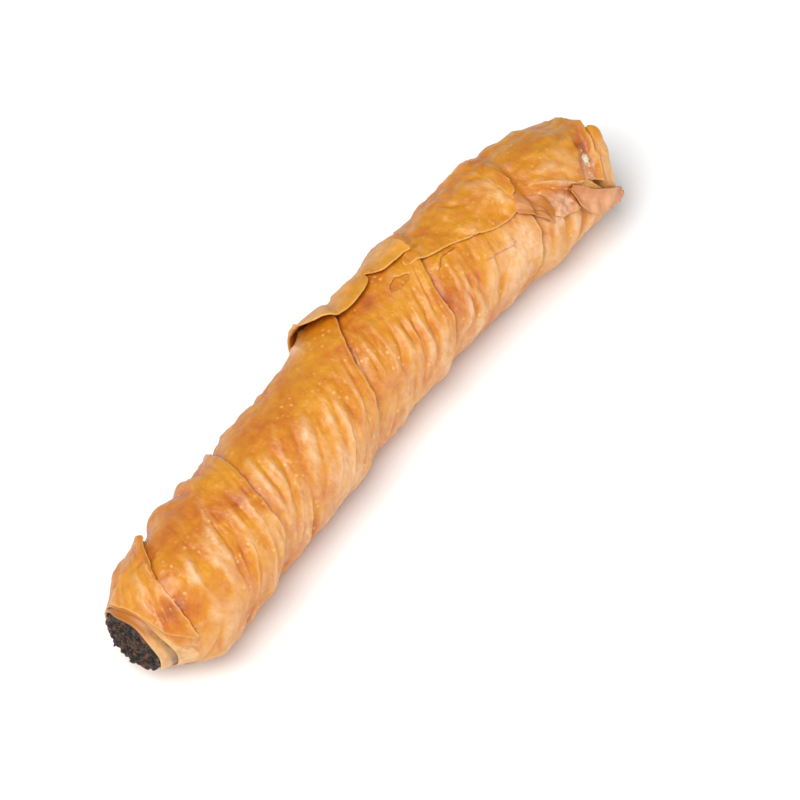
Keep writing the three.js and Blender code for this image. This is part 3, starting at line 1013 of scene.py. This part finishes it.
# %% The shape of a folded hem
HEM_FRONT = math.radians(32)  # the middle of a folded hem
HEM_LIP = 1.0  # from the hem's line to its valley
HEM_WIDTHS = ((0, 5.0), (20, 5.4), (45, 7.6), (60, 7.6))  # and to the valley's far wall
HEM_RIDGE = 0.7
HEM_RIDGE_WIDTH = 1.1
VALLEY_SLOPE = 1.2  # how wide a wall of the valley is
VALLEY_DEPTH = 1.2
# The valley floor is painted darker, and blended towards the colour of the painted sheen.
VALLEY_TONE = 2.3
VALLEY_PALENESS = 1.3


def hem_shape(from_hem, angle):
    """The round ridge of a folded hem and the valley behind it, both at the front alone."""
    in_front = smooth(1.3 - angle_between(angle, HEM_FRONT) / 0.6)
    ridge = np.exp(-((from_hem / HEM_RIDGE_WIDTH) ** 2))
    far_wall = by_angle(angle, *HEM_WIDTHS) + VALLEY_SLOPE
    valley = smooth((from_hem - HEM_LIP) / VALLEY_SLOPE) * smooth((far_wall - from_hem) / VALLEY_SLOPE)
    return in_front * ridge, in_front * valley


# %% How a loose sheet is laid
SHEET_GAP = 0.05
FLUSH_DEPTH = 0.6  # how far the root of a flush scrap is sunk
# How dark the painted shade is along the edge of a crack.
CRACK_SHADE = 2.6
JAG_LENGTH = 0.6  # raggedness of an edge along the roll
JAG_DEGREES = 2.5  # and round it
# How much paler raised crumples are painted, as a painted sheen.
CRUMPLE_SHEEN = 0.65


def curve_through(values, place):
    """A smooth curve through evenly spaced values, read at a fractional place."""
    values = np.asarray(values, float)
    last = len(values) - 1
    first = np.clip(np.floor(place).astype(int), 0, max(0, last - 1))
    t = place - first
    before, here, after, beyond = (values[np.clip(first + k, 0, last)] for k in (-1, 0, 1, 2))
    leave = (after - before) / 2
    arrive = (beyond - here) / 2
    return (
        (2 * here - 2 * after + leave + arrive) * t**3
        + (3 * after - 3 * here - 2 * leave - arrive) * t**2
        + leave * t
        + here
    )


def sheet_place(
    lines, seed, power=2.0, ragged=0.5, crumple=0.8, tone=0.0, pale_rim=1.0, flush=False,
    far_rise=0.0, hem=None, both_edges=False, gap=0.0, settled=True, folds=(),
):
    """Lays a sheet by lines, each its root's x and degrees, its edge's x and degrees, and its lift."""
    columns = list(zip(*lines))

    def place(out, along):
        at = along * (len(lines) - 1)
        root_x, root_deg, edge_x, edge_deg, lift = (curve_through(column, at) for column in columns)
        jag = noise_along(along * 17.0, seed) + 0.6 * noise_along(along * 47.0, seed + 2)
        sway = noise_along(along * 13.0, seed + 4) + 0.6 * noise_along(along * 41.0, seed)
        edge_x = edge_x + JAG_LENGTH * ragged * jag
        edge_deg = edge_deg + JAG_DEGREES * ragged * sway
        x = root_x + (edge_x - root_x) * out
        angle = np.radians(root_deg + (edge_deg - root_deg) * out)
        # tone darkens a sheet towards its free edge; below zero it lightens it, which is painted light.
        toast_and_shading = tone * out**2 + browned(x, angle)
        wave = crumple * scrap_relief(x, angle, seed)
        reach = np.hypot(edge_x - root_x, ROLL_RADIUS * np.radians(edge_deg - root_deg))
        rim = pale_rim * np.clip(1 - (1 - out) * reach / RIM_WIDTH, 0.0, 1.0)
        valley_paleness = 0.0
        if hem:
            hem_x = by_angle(angle, *hem) + 0.7 * noise_along(np.degrees(angle) / 9.0, seed + 1)
            x = x + along**3 * (hem_x - x[-1:])
            ridge, valley = hem_shape(hem_x - x, angle)
            wave = wave + HEM_RIDGE * ridge - VALLEY_DEPTH * valley
            toast_and_shading = toast_and_shading + VALLEY_TONE * valley
            valley_paleness = VALLEY_PALENESS * valley
            rim = np.maximum(rim, np.clip(1 - (hem_x - x) / RIM_WIDTH, 0.0, 1.0))
        wave = wave + fold_height(x, angle, folds)
        if flush:
            ends = smooth(np.minimum(along, 1 - along) / 0.3)
            radius = wrap_height(x, angle) - FLUSH_DEPTH + (FLUSH_DEPTH + lift) * smooth(out / 0.9) * ends
            turn = visible_turn(x, angle)
            wave = wrinkle_height(turn, edge_at(turn) - x) + WRINKLE_DROP
            # Painted shade: a crack's edge is darkened where it stands over the gap below it.
            toast_and_shading = toast_and_shading + CRACK_SHADE * rim * ends
            rim = 0 * rim
        else:
            laid = drape(wrap_height(x, angle)) + SHEET + SHEET_GAP + gap
            rise = (2 * out - 1) ** 2 if both_edges else out**power
            share = np.minimum(1.0, 3 * out) if settled else 1.0
            radius = laid + lift * rise + wave * share + far_rise * smooth((along - 0.75) / 0.2)
        # Painted sheen: raised crumples are painted paler, as are the sheen spots and the lit front.
        crease = CRUMPLE_SHEEN * wave + painted_sheen(x, angle) + valley_paleness
        return on_roll(x, angle, radius), {"rim": rim, "crease": crease, "toast_and_shading": toast_and_shading}

    return place


def add_sheet(name, lines, columns, rows, seed, finish=CRUST, **shape):
    bm = grid_mesh(columns, rows, sheet_place(lines, seed, **shape))
    face_outwards(bm)
    return finish_piece(name, bm, finish, "pastry", SHEET)


# %% Two cracks in the front
add_sheet("cracked_panel", [
    (154, 24, 154.3, 36, 0.1), (156, 24, 156, 39, 0.35), (159.6, 25, 159.6, 41, 0.45),
    (163, 27, 163, 43.5, 0.45), (165.5, 30, 165.4, 45.2, 0.4), (168, 33, 168, 45.4, 0.35),
    (170, 36, 170, 46, 0.1),
], columns=30, rows=60, seed=21.0, ragged=0.25, crumple=0.0, flush=True)
add_sheet("torn_edge", [
    (140.5, -6, 141, 9.5, 0.1), (143, -3, 143.2, 15.4, 0.35), (145, -2, 145.2, 12.4, 0.45),
    (147.7, 0, 147.7, 9.5, 0.45), (152, 3, 152.1, 12.2, 0.4), (155, 5, 155.1, 10.8, 0.1),
], columns=30, rows=60, seed=25.0, ragged=0.25, crumple=0.0, flush=True)

# %% The sheet over the far end, with its hem
HEM_LINE = (
    (-150, 210.0), (-120, 211.0), (-60, 213.0), (-2, 213.6), (13, 211.3), (29.5, 208.5), (45, 206.6),
    (62, 204.4), (80, 203.5),
)
END_FOLDS = (
    (187.5, 26, 195.5, 43, 0.7, 1.7), (187.5, 31, 194, 47, 0.9, -0.9), (184.6, 36, 186.5, 52, 0.7, 0.5),
    (188, 42, 190.5, 56, 0.8, 0.4),
)
end_sheet = add_sheet("end_sheet", [
    (174, -150, 174.8, 9, -0.45), (178, -150, 177.2, 15, -0.4), (181, -150, 179.6, 36, -0.2),
    (184, -150, 182.5, 52, 0.2), (187, -150, 185.7, 58, 0.5), (190, -150, 190.5, 61.8, 0.7),
    (192.5, -150, 192.3, 59, 0.7), (195, -150, 195.2, 46, 0.6), (199, -150, 199.3, 52.8, 0.6),
    (203, -150, 203.5, 64.2, 0.5),
], columns=180, rows=100, seed=57.0, power=7.0, hem=HEM_LINE, ragged=0.3, pale_rim=0.4, folds=END_FOLDS)

# %% The patch on top and the long flap
PATCH_FOLDS = ((138.2, -10, 144, -17, 0.5, 0.8), (140, -8, 145.5, -14, 0.6, -0.7))
add_sheet("top_patch", [
    (148, -150, 137.5, -8.5, 0.25), (150, -150, 142.2, -1.8, 0.3), (152, -150, 146.5, 3, 0.3),
    (154, -150, 151.2, 7, 0.35), (157, -150, 157.4, 15.2, 0.4), (160, -150, 160.5, 19, 0.45),
    (164, -150, 165.3, 24.8, 0.5), (169, -150, 171.2, 27.4, 0.6), (172, -150, 173.8, 26.7, 0.7),
    (174, -150, 175.2, 25.3, 0.8), (175.5, -150, 175.8, 21, 0.6), (177.5, -150, 176.8, 14.5, 0.4),
    (180.5, -150, 178.4, 12.5, 0.5), (183, -150, 179.8, 4, 0.6),
], columns=130, rows=110, seed=33.0, power=6.0, ragged=0.35, far_rise=0.9, folds=PATCH_FOLDS)
# Painted light: the long flap is painted lighter towards its free edge, with a tone below zero.
add_sheet("long_flap", [
    (108, -148, 106.2, -58, 3.2), (106.4, -148, 104.6, -43, 4.0), (107, -148, 106.2, -32, 3.9),
    (109.5, -148, 108.9, -27.2, 3.4), (112, -148, 111.6, -22, 2.7), (116, -148, 115.9, -19.2, 2.2),
    (120.5, -148, 120.5, -18, 1.9), (124.3, -148, 124.3, -19, 1.6), (127.5, -148, 127.5, -22.5, 1.3),
    (129, -148, 128.8, -28.8, 1.1), (130.5, -148, 130.2, -22, 1.4), (133, -148, 132.8, -16.8, 1.5),
    (137.2, -148, 137.2, -15.2, 1.4), (141, -148, 141, -14, 1.3), (143.1, -148, 143.1, -13, 1.2),
    (144, -148, 144.3, -24, 0.9), (145, -148, 144.9, -34.5, 0.8),
], columns=110, rows=150, seed=45.0, power=2.2, ragged=0.2, crumple=0.35, tone=-1.6, pale_rim=0.6)

# %% Small scraps
CORNER_FOLDS = (
    (182.6, 30, 183, 46, 0.5, 0.7), (180.5, 27, 181.8, 48, 0.7, -0.6), (177.5, 31, 180.3, 49, 0.6, 0.5),
    (175.5, 28, 178.5, 36, 0.6, -0.4),
)
add_sheet("folded_corner", [
    (177.7, 13.2, 176.6, 14.5, 0.2), (179, 19, 174.6, 23, 0.3), (181, 25, 173.4, 27.6, 0.5),
    (183.3, 31.5, 174.6, 31.5, 0.9), (183.6, 36, 176, 35, 1.2), (183.3, 41, 177.8, 41, 1.3),
    (182.8, 47, 179.2, 46.5, 1.1), (182, 52, 180.3, 51, 0.9), (181.2, 55.2, 181, 55, 0.7),
], columns=40, rows=60, seed=57.0, finish=DUSKY_DOUGH, ragged=0.1, tone=0.2, pale_rim=0.5, gap=0.6,
    settled=False, folds=CORNER_FOLDS)
add_sheet("end_ear", [
    (192.6, 42, 191.6, 44, 0.5), (194, 44.5, 191.6, 54, 0.9), (195.6, 49.5, 192, 62, 1.2),
    (197.8, 56.5, 193.6, 71.5, 1.3), (200.8, 63.5, 196.3, 79.5, 1.3), (203.8, 70, 200.4, 86.5, 1.2),
    (206, 75.5, 204.5, 93, 1.2), (207.6, 79.5, 208.3, 99, 1.2), (208.6, 83, 210.3, 102, 1.1),
    (209.5, 88, 211, 101, 0.9), (210.2, 93, 211.2, 98, 0.7),
], columns=44, rows=66, seed=57.0, finish=DUSKY_DOUGH, ragged=0.1, pale_rim=0.6, both_edges=True,
    gap=0.8, settled=False)
add_sheet("near_flake", [
    (14.4, -22, 13.2, -20, 0.1), (13.8, -16, 12.0, -15, 0.3), (12.8, -10, 11.0, -10, 0.3),
    (11.8, -4, 10.6, -4, 0.1),
], columns=18, rows=30, seed=83.0, ragged=0.35, crumple=1.0, pale_rim=0.8)

# %% A sheet close under the tear
UNDER_TEAR_HALF_LENGTH = 8.0
UNDER_TEAR_ANGLE = -2.5  # degrees
UNDER_TEAR_SPAN = 26.0
UNDER_TEAR_GAP = 0.15
UNDER_TEAR_TONE = 0.7


def under_tear(across, along):
    x = TEAR_X + UNDER_TEAR_HALF_LENGTH * (2 * across - 1)
    angle = np.radians(UNDER_TEAR_ANGLE + UNDER_TEAR_SPAN * (along - 0.5))
    radius = wrap_height(x, angle) - SHEET - UNDER_TEAR_GAP
    return on_roll(x, angle, radius), {"toast_and_shading": 0 * x + UNDER_TEAR_TONE}


floor_sheet = grid_mesh(24, 24, under_tear)
face_outwards(floor_sheet)
finish_piece("sheet_under_tear", floor_sheet, CRUST, "pastry", SHEET)

# %% [markdown]
# ## The mouths
# At the near mouth the outer turn stops short in front, so two inner layers of pale dough show there, each
# a step further out than the one before, and their thin lips show above the filling too. The far mouth has
# the same layers, seen edge on.

# %% Inner layers of dough at the near mouth
LAYER = 0.6
NEAR_LAYER_END = 15.0
COVERED_LENGTH = 5.0  # over which a layer sinks in under the next one
COVERED_DROP = 2.6
STAIN_START = 1.9  # before the rim of the next layer
STAIN_LENGTH = 1.1
LIP_MIDDLE = math.radians(-15)  # where the lips are browned most
FIRST_LAYER_RIM = (
    (-65, 1.2), (-40, -0.1), (-14, -0.6), (5, -0.8), (37, -1.2), (60, -1.3), (89, -1.1), (112, -0.4),
    (135, 1.5), (160, 3.0), (230, 3.0), (270, 2.2),
)
SECOND_LAYER_RIM = (
    (-65, 2.2), (-40, 1.5), (0, 1.4), (21, 1.5), (45, 2.0), (74, 2.8), (91, 3.2), (112, 4.0),
    (135, 4.6), (180, 5.0), (230, 4.2), (270, 3.2),
)


def near_layer(rim_table, cover, rim_rise, cover_drop, stained=False):
    """A layer from its own rim to under the next layer, whose rim is cover, a function of the angle."""

    def rim(angle):
        return by_angle(angle, *rim_table) + 0.2 * np.sin(5 * angle + 3 * rim_rise)

    def radius(x, angle):
        shown = smooth((x - rim(angle)) / (cover(angle) - rim(angle)))
        covered = smooth((x - cover(angle)) / COVERED_LENGTH)
        height = rim_rise - (rim_rise + cover_drop) * shown - COVERED_DROP * covered
        return roll_radius(np.maximum(x, 0.0)) + height + swell(x, angle) * smooth(x / 6)

    def marks(x, angle):
        stain = smooth((x - cover(angle) + STAIN_START) / STAIN_LENGTH) if stained else 0 * x
        lip = smooth(1.25 - angle_between(angle, LIP_MIDDLE) / 1.1)
        return {"stain": stain, "toast_and_shading": lip}

    return tube_place(rim, lambda angle: 0 * angle + NEAR_LAYER_END, radius, rim_at=rim, marks_at=marks)


def second_rim(angle):
    return by_angle(angle, *SECOND_LAYER_RIM)


first_layer = near_layer(FIRST_LAYER_RIM, second_rim, rim_rise=0.4, cover_drop=0.45, stained=True)
second_layer = near_layer(SECOND_LAYER_RIM, near_rim, rim_rise=0.3, cover_drop=-0.1)
add_tube("near_dough_layer_1", 150, 30, first_layer, INNER_DOUGH, "pastry", LAYER)
add_tube("near_dough_layer_2", 150, 26, second_layer, INNER_DOUGH, "pastry", LAYER)

# %% Inner layers of dough at the far mouth
FAR_LAYER = 1.15
FAR_LAYER_START = 196.0
FAR_LAYERS = ((2.2, 4.2), (1.0, 2.8), (0.0, 1.4))  # how far a rim is set back, and how far in it lies
FAR_LAYER_DIP = 1.5
DIP_X = 207.0  # where the layers begin to sink in
DIP_LENGTH = 4.0
FAR_LAYER_RIM = (
    (-180, 209.0), (-60, 210.0), (0, 210.3), (30, 211.6), (45, 213.0), (54, 213.4), (78, 212.3),
    (100, 211.0), (140, 210.0),
)
FAR_LIP_RIM = (
    (-180, 209.0), (-120, 210.0), (-60, 211.0), (-20, 211.6), (0, 212.0), (7, 212.3), (13, 213.9),
    (28, 214.2), (36, 213.3), (45, 212.0), (52, 210.6), (62, 209.2), (75, 208.6), (90, 209.0),
    (120, 209.0),
)


def far_start(angle):
    return 0 * angle + FAR_LAYER_START


def far_surface(x, angle, drop, dip):
    """The roll's face at the far mouth, set in by drop, and by dip as well away from the rim."""
    return roll_radius(x) + swell(x, angle) - drop - dip * smooth((DIP_X - x) / DIP_LENGTH)


def far_layer(set_back, drop):
    def rim(angle):
        return by_angle(angle, *FAR_LAYER_RIM) - set_back + 0.3 * np.sin(4 * angle + drop)

    def radius(x, angle):
        return far_surface(x, angle, drop, FAR_LAYER_DIP) + 0.25 * np.sin(3 * angle + drop)

    def marks(x, angle):
        return {"crease": 0 * x + 0.8}

    return tube_place(far_start, rim, radius, rim_at=rim, marks_at=marks)


for number, (set_back, drop) in enumerate(FAR_LAYERS, start=1):
    layer = far_layer(set_back, drop)
    add_tube(f"far_dough_layer_{number}", 150, 22, layer, INNER_DOUGH, "pastry", FAR_LAYER)


# %% The lip beyond the far hem
FAR_LIP_DROP = 1.1
FAR_LIP_DIP = 2.2
FAR_LIP_RISE = 1.8
FAR_LIP_LIFT = ((214, 14, 5, 1.6), (213, 24, 4, 0.8), (207, 55, 6, 1.0))


def far_lip_rim(angle):
    return by_angle(angle, *FAR_LIP_RIM) + 0.3 * np.sin(9 * angle) + 0.25 * np.sin(17 * angle + 2)


def far_lip_radius(x, angle):
    """Low under the hem, and standing up beyond it."""
    beyond = smooth((x - by_angle(angle, *HEM_LINE) + 0.5) / 1.5)
    low = far_surface(x, angle, FAR_LIP_DROP, FAR_LIP_DIP)
    return low + (FAR_LIP_RISE + soft_spots(x, angle, FAR_LIP_LIFT)) * beyond


# Painted light: the whole lip is painted lighter than the crust, where the hem shades it, and in front it
# gets the painted sheen as well.
def far_lip_marks(x, angle):
    return {"toast_and_shading": 0 * x - 0.6, "crease": 0.6 * smooth((np.degrees(angle) - 22) / 14)}


far_lip = tube_place(far_start, far_lip_rim, far_lip_radius, rim_at=far_lip_rim, marks_at=far_lip_marks)
add_tube("far_lip", 150, 30, far_lip, CRUST, "pastry", SHEET)

# %% [markdown]
# ## The filling
# Cooked spinach is dark and craggy. The log is turned from a profile, and only its two ends carry relief,
# because the rest is hidden. Scraps of leaf lie on the ends.

# %% Turn the filling
FILLING_SIDES = 220
NEAR_FACE = -0.9
FAR_FACE = 206.6
FACE_RADIUS = 10.4
LOW_SIDE = 1.1  # how much further the near end reaches down
FACE_ROWS = 66
MIDDLE_ROWS = 8
FACE_BULGE = 2.6
FACE_DEPTH = 6.0  # from a face to where the plain log begins
LOG_SWELL = 3.0
CRAG_HEIGHT = 1.1
COARSE_CRAG = 1.7  # spacing in millimetres
FINE_CRAG = 0.75
FAR_PATTERN = 50.0  # moves the far face to another part of the noise


def face_noise(places, spacing, shape):
    return np.array([noise.noise(Vector(place) / spacing) for place in places]).reshape(shape)


def filling_place(around, along):
    angle = TAU * around
    rows = along.shape[0] - 1
    row = np.rint(along * rows)
    out = np.minimum(1.0, np.minimum(row, rows - row) / FACE_ROWS)
    at_near = row <= rows / 2
    low = np.where(at_near, smooth((angle_between(angle, 0.0) - 2.0) / 0.8), 0.0)
    face_radius = FACE_RADIUS + LOW_SIDE * low
    radius = face_radius * np.sin(0.5 * np.pi * out) ** 0.9
    bulge = FACE_BULGE * (1 - np.cos(0.5 * np.pi * out)) ** 1.6
    face = (radius * np.sin(angle), radius * np.cos(angle), np.where(at_near, 0.0, FAR_PATTERN))
    places = np.stack(face, axis=-1).reshape(-1, 3).tolist()
    coarse = face_noise(places, COARSE_CRAG, out.shape)
    fine = 1 - 2 * np.abs(face_noise(places, FINE_CRAG, out.shape))
    crag = CRAG_HEIGHT * (1.3 * coarse + 0.6 * fine) * (1 - 0.6 * out**3)
    radius = radius * (1 + 0.05 * coarse)
    x = np.where(at_near, NEAR_FACE + bulge - crag, FAR_FACE - bulge + crag)
    middle = (row > FACE_ROWS) & (row < rows - FACE_ROWS)
    depth = (row - FACE_ROWS) / (rows - 2 * FACE_ROWS)
    log_length = FAR_FACE - NEAR_FACE - 2 * FACE_DEPTH
    x = np.where(middle, NEAR_FACE + FACE_DEPTH + log_length * depth, x)
    plump = np.sin(np.pi * np.clip(depth, 0, 1)) ** 0.5
    radius = np.where(middle, face_radius + LOG_SWELL * plump, radius)
    return on_roll(x, angle, radius), {}


filling = grid_mesh(FILLING_SIDES, 2 * FACE_ROWS + MIDDLE_ROWS, filling_place, closed=True)
bmesh.ops.recalc_face_normals(filling, faces=filling.faces)
filling_log = finish_piece("spinach_filling", filling, SPINACH, "filling")

# %% [markdown]
# ## Bits of filling
# Shreds of leaf lie on both ends of the log, and a few crumbs of cheese sit in the valley of the far hem.
# Each is dropped along a line until it meets the surface below, so none floats.

# %% Find the surface below
def surface_below(piece):
    corners = [vert.co for vert in piece.data.vertices]
    return BVHTree.FromPolygons(corners, [face.vertices for face in piece.data.polygons])


# %% Drop shreds of leaf on both ends
SHREDS_PER_END = 170
SHRED_SPREAD = 0.86  # of the end's radius
SHRED_LIFT = 0.15
SHRED_THICKNESS = 0.12
DROP_LENGTH = 30.0


def add_shred(bm, mark, place, towards, draw):
    """A thin curled scrap of leaf, laid on a place, with towards as its upper side."""
    made = bmesh.ops.create_grid(bm, x_segments=4, y_segments=2, size=0.5 * MM)["verts"]
    length, width, curl = draw.uniform(0.8, 1.8), draw.uniform(0.4, 0.9), draw.uniform(-0.6, 0.2)
    spin = Matrix.Rotation(draw.uniform(0, TAU), 4, "Z")
    lean = Matrix.Rotation(draw.uniform(-0.4, 0.4), 4, "X")
    tilt = lean @ Matrix.Rotation(draw.uniform(-0.25, 0.25), 4, "Y")
    turn = Vector(towards).to_track_quat("Z", "Y").to_matrix().to_4x4()
    brown = draw.random() ** 2
    for vert in made:
        along = vert.co.x / (0.5 * MM)
        vert.co.x *= length
        vert.co.y *= width * (1 - 0.5 * along**2)
        vert.co.z = MM * (SHRED_LIFT + curl * 0.4 * along**2 + draw.uniform(-0.06, 0.06))
        vert[mark] = brown
    bmesh.ops.transform(bm, matrix=Matrix.Translation(place) @ turn @ tilt @ spin, verts=made)


shred_draw = random.Random(23)
log_surface = surface_below(filling_log)
shreds = bmesh.new()
shred_mark = shreds.verts.layers.float.new("toast_and_shading")
for end_x, heading in ((-8.0, 1.0), (ROLL_LENGTH + 4, -1.0)):
    for _ in range(SHREDS_PER_END):
        spread = FACE_RADIUS * SHRED_SPREAD * math.sqrt(shred_draw.random())
        bearing = shred_draw.uniform(0, TAU)
        start = Vector(on_roll(np.array(end_x), np.array(bearing), np.array(spread)))
        hit = log_surface.ray_cast(start, Vector((heading, 0.0, 0.0)), DROP_LENGTH * MM)
        if hit[0] is not None:
            upwards = hit[1] if hit[1].x * heading < 0 else -hit[1]
            add_shred(shreds, shred_mark, hit[0], upwards, shred_draw)
finish_piece("spinach_shreds", shreds, LEAF, "filling", SHRED_THICKNESS)

# %% Drop crumbs of cheese in the valley of the hem
CRUMBS = (
    (203.6, 33.0, 1.1), (202.9, 35.4, 0.8), (204.0, 31.0, 0.7), (203.3, 38.6, 0.45),
    (203.0, 41.2, 0.35), (204.6, 44.0, 0.3), (205.0, 25.0, 0.3), (201.2, 46.0, 0.3),
)
DROP_HEIGHT = 10.0  # above the roll
CRUMB_CRAGS = 0.55
CRUMB_CRAG_SPACING = 0.7  # of a crumb's radius
CRUMB_FLATNESS = 0.7
crumb_draw = random.Random(31)
hem_surface = surface_below(end_sheet)
crumbs = bmesh.new()
for x, degrees, radius in CRUMBS:
    place, angle = np.array(x), np.array(math.radians(degrees))
    start = Vector(on_roll(place, angle, np.array(ROLL_RADIUS + DROP_HEIGHT)))
    axis = Vector(on_roll(place, angle, np.array(0.0)))
    found = hem_surface.ray_cast(start, axis - start)[0]
    made = bmesh.ops.create_icosphere(crumbs, subdivisions=3, radius=radius * MM)["verts"]
    pattern = Vector((crumb_draw.uniform(0, 50), 0, 0))
    for vert in made:
        vert.co *= 1 + CRUMB_CRAGS * noise.noise(vert.co / (CRUMB_CRAG_SPACING * radius * MM) + pattern)
        vert.co.z *= CRUMB_FLATNESS
    bmesh.ops.translate(crumbs, vec=found, verts=made)
finish_piece("cheese_crumbs", crumbs, CHEESE, "pastry")

# %% [markdown]
# ## Floor, light and camera
# The roll lies on a white floor in soft light from the right of the camera, which looks down along it.

# %% Floor
FLOOR_HALF = 3.0
bm = bmesh.new()
bmesh.ops.create_grid(bm, x_segments=1, y_segments=1, size=FLOOR_HALF)
floor_mesh = bpy.data.meshes.new("floor")
bm.to_mesh(floor_mesh)
bm.free()
floor = bpy.data.objects.new("floor", floor_mesh)
bpy.context.scene.collection.objects.link(floor)
floor_finish, _, floor_shader = new_material("white_floor")
floor_shader.inputs["Base Color"].default_value = (0.93, 0.93, 0.93, 1.0)
floor_shader.inputs["Roughness"].default_value = 0.9
floor_mesh.materials.append(floor_finish)
print("floor", 2 * FLOOR_HALF, "metres wide")

# %% Camera
VIEW_AZIMUTH = math.radians(-53.3)
VIEW_ELEVATION = math.radians(57.7)
VIEW_DISTANCE = 1.4
LENS = 215.0
AIM_X = 116.0  # millimetres along the roll
AIM_RIGHT = 9.2
AIM_DOWN = 12.0

back = Vector((
    math.sin(VIEW_AZIMUTH) * math.cos(VIEW_ELEVATION),
    -math.cos(VIEW_AZIMUTH) * math.cos(VIEW_ELEVATION),
    math.sin(VIEW_ELEVATION),
))
right = Vector((math.cos(VIEW_AZIMUTH), math.sin(VIEW_AZIMUTH), 0.0))
up = back.cross(right)
aim = Vector(on_roll(np.array(AIM_X), np.array(0.0), np.array(0.0)))
aim += MM * (AIM_RIGHT * right - AIM_DOWN * up)
camera_data = bpy.data.cameras.new("camera")
camera_data.lens = LENS
camera_data.sensor_width = 36.0
camera = bpy.data.objects.new("camera", camera_data)
facing = Matrix((right, up, back)).transposed().to_4x4()
camera.matrix_world = Matrix.Translation(aim + back * VIEW_DISTANCE) @ facing
bpy.context.scene.collection.objects.link(camera)
bpy.context.scene.camera = camera
print("camera aims at", aim)

# %% Light
def soft_light(name, direction, distance, width, height, power):
    lamp = bpy.data.lights.new(name, "AREA")
    lamp.shape = "RECTANGLE"
    lamp.size = width
    lamp.size_y = height
    lamp.energy = power
    light = bpy.data.objects.new(name, lamp)
    towards = Vector(direction).normalized()
    facing = towards.to_track_quat("Z", "Y").to_matrix().to_4x4()
    light.matrix_world = Matrix.Translation(aim + towards * distance) @ facing
    bpy.context.scene.collection.objects.link(light)
    print(name, power, "watts")


world = bpy.data.worlds.new("soft room")
bpy.context.scene.world = world
world.use_nodes = True
room_light = world.node_tree.nodes["Background"].inputs
room_light["Color"].default_value = (1.0, 1.0, 1.0, 1.0)
room_light["Strength"].default_value = 0.3
soft_light("soft box on the right", (0.40, -0.89, 0.22), distance=1.2, width=0.4, height=0.8, power=6.8)
soft_light("broad light above", (-0.45, 0.0, 0.89), distance=1.4, width=1.0, height=1.0, power=24.4)
bpy.context.scene.view_settings.view_transform = "Standard"
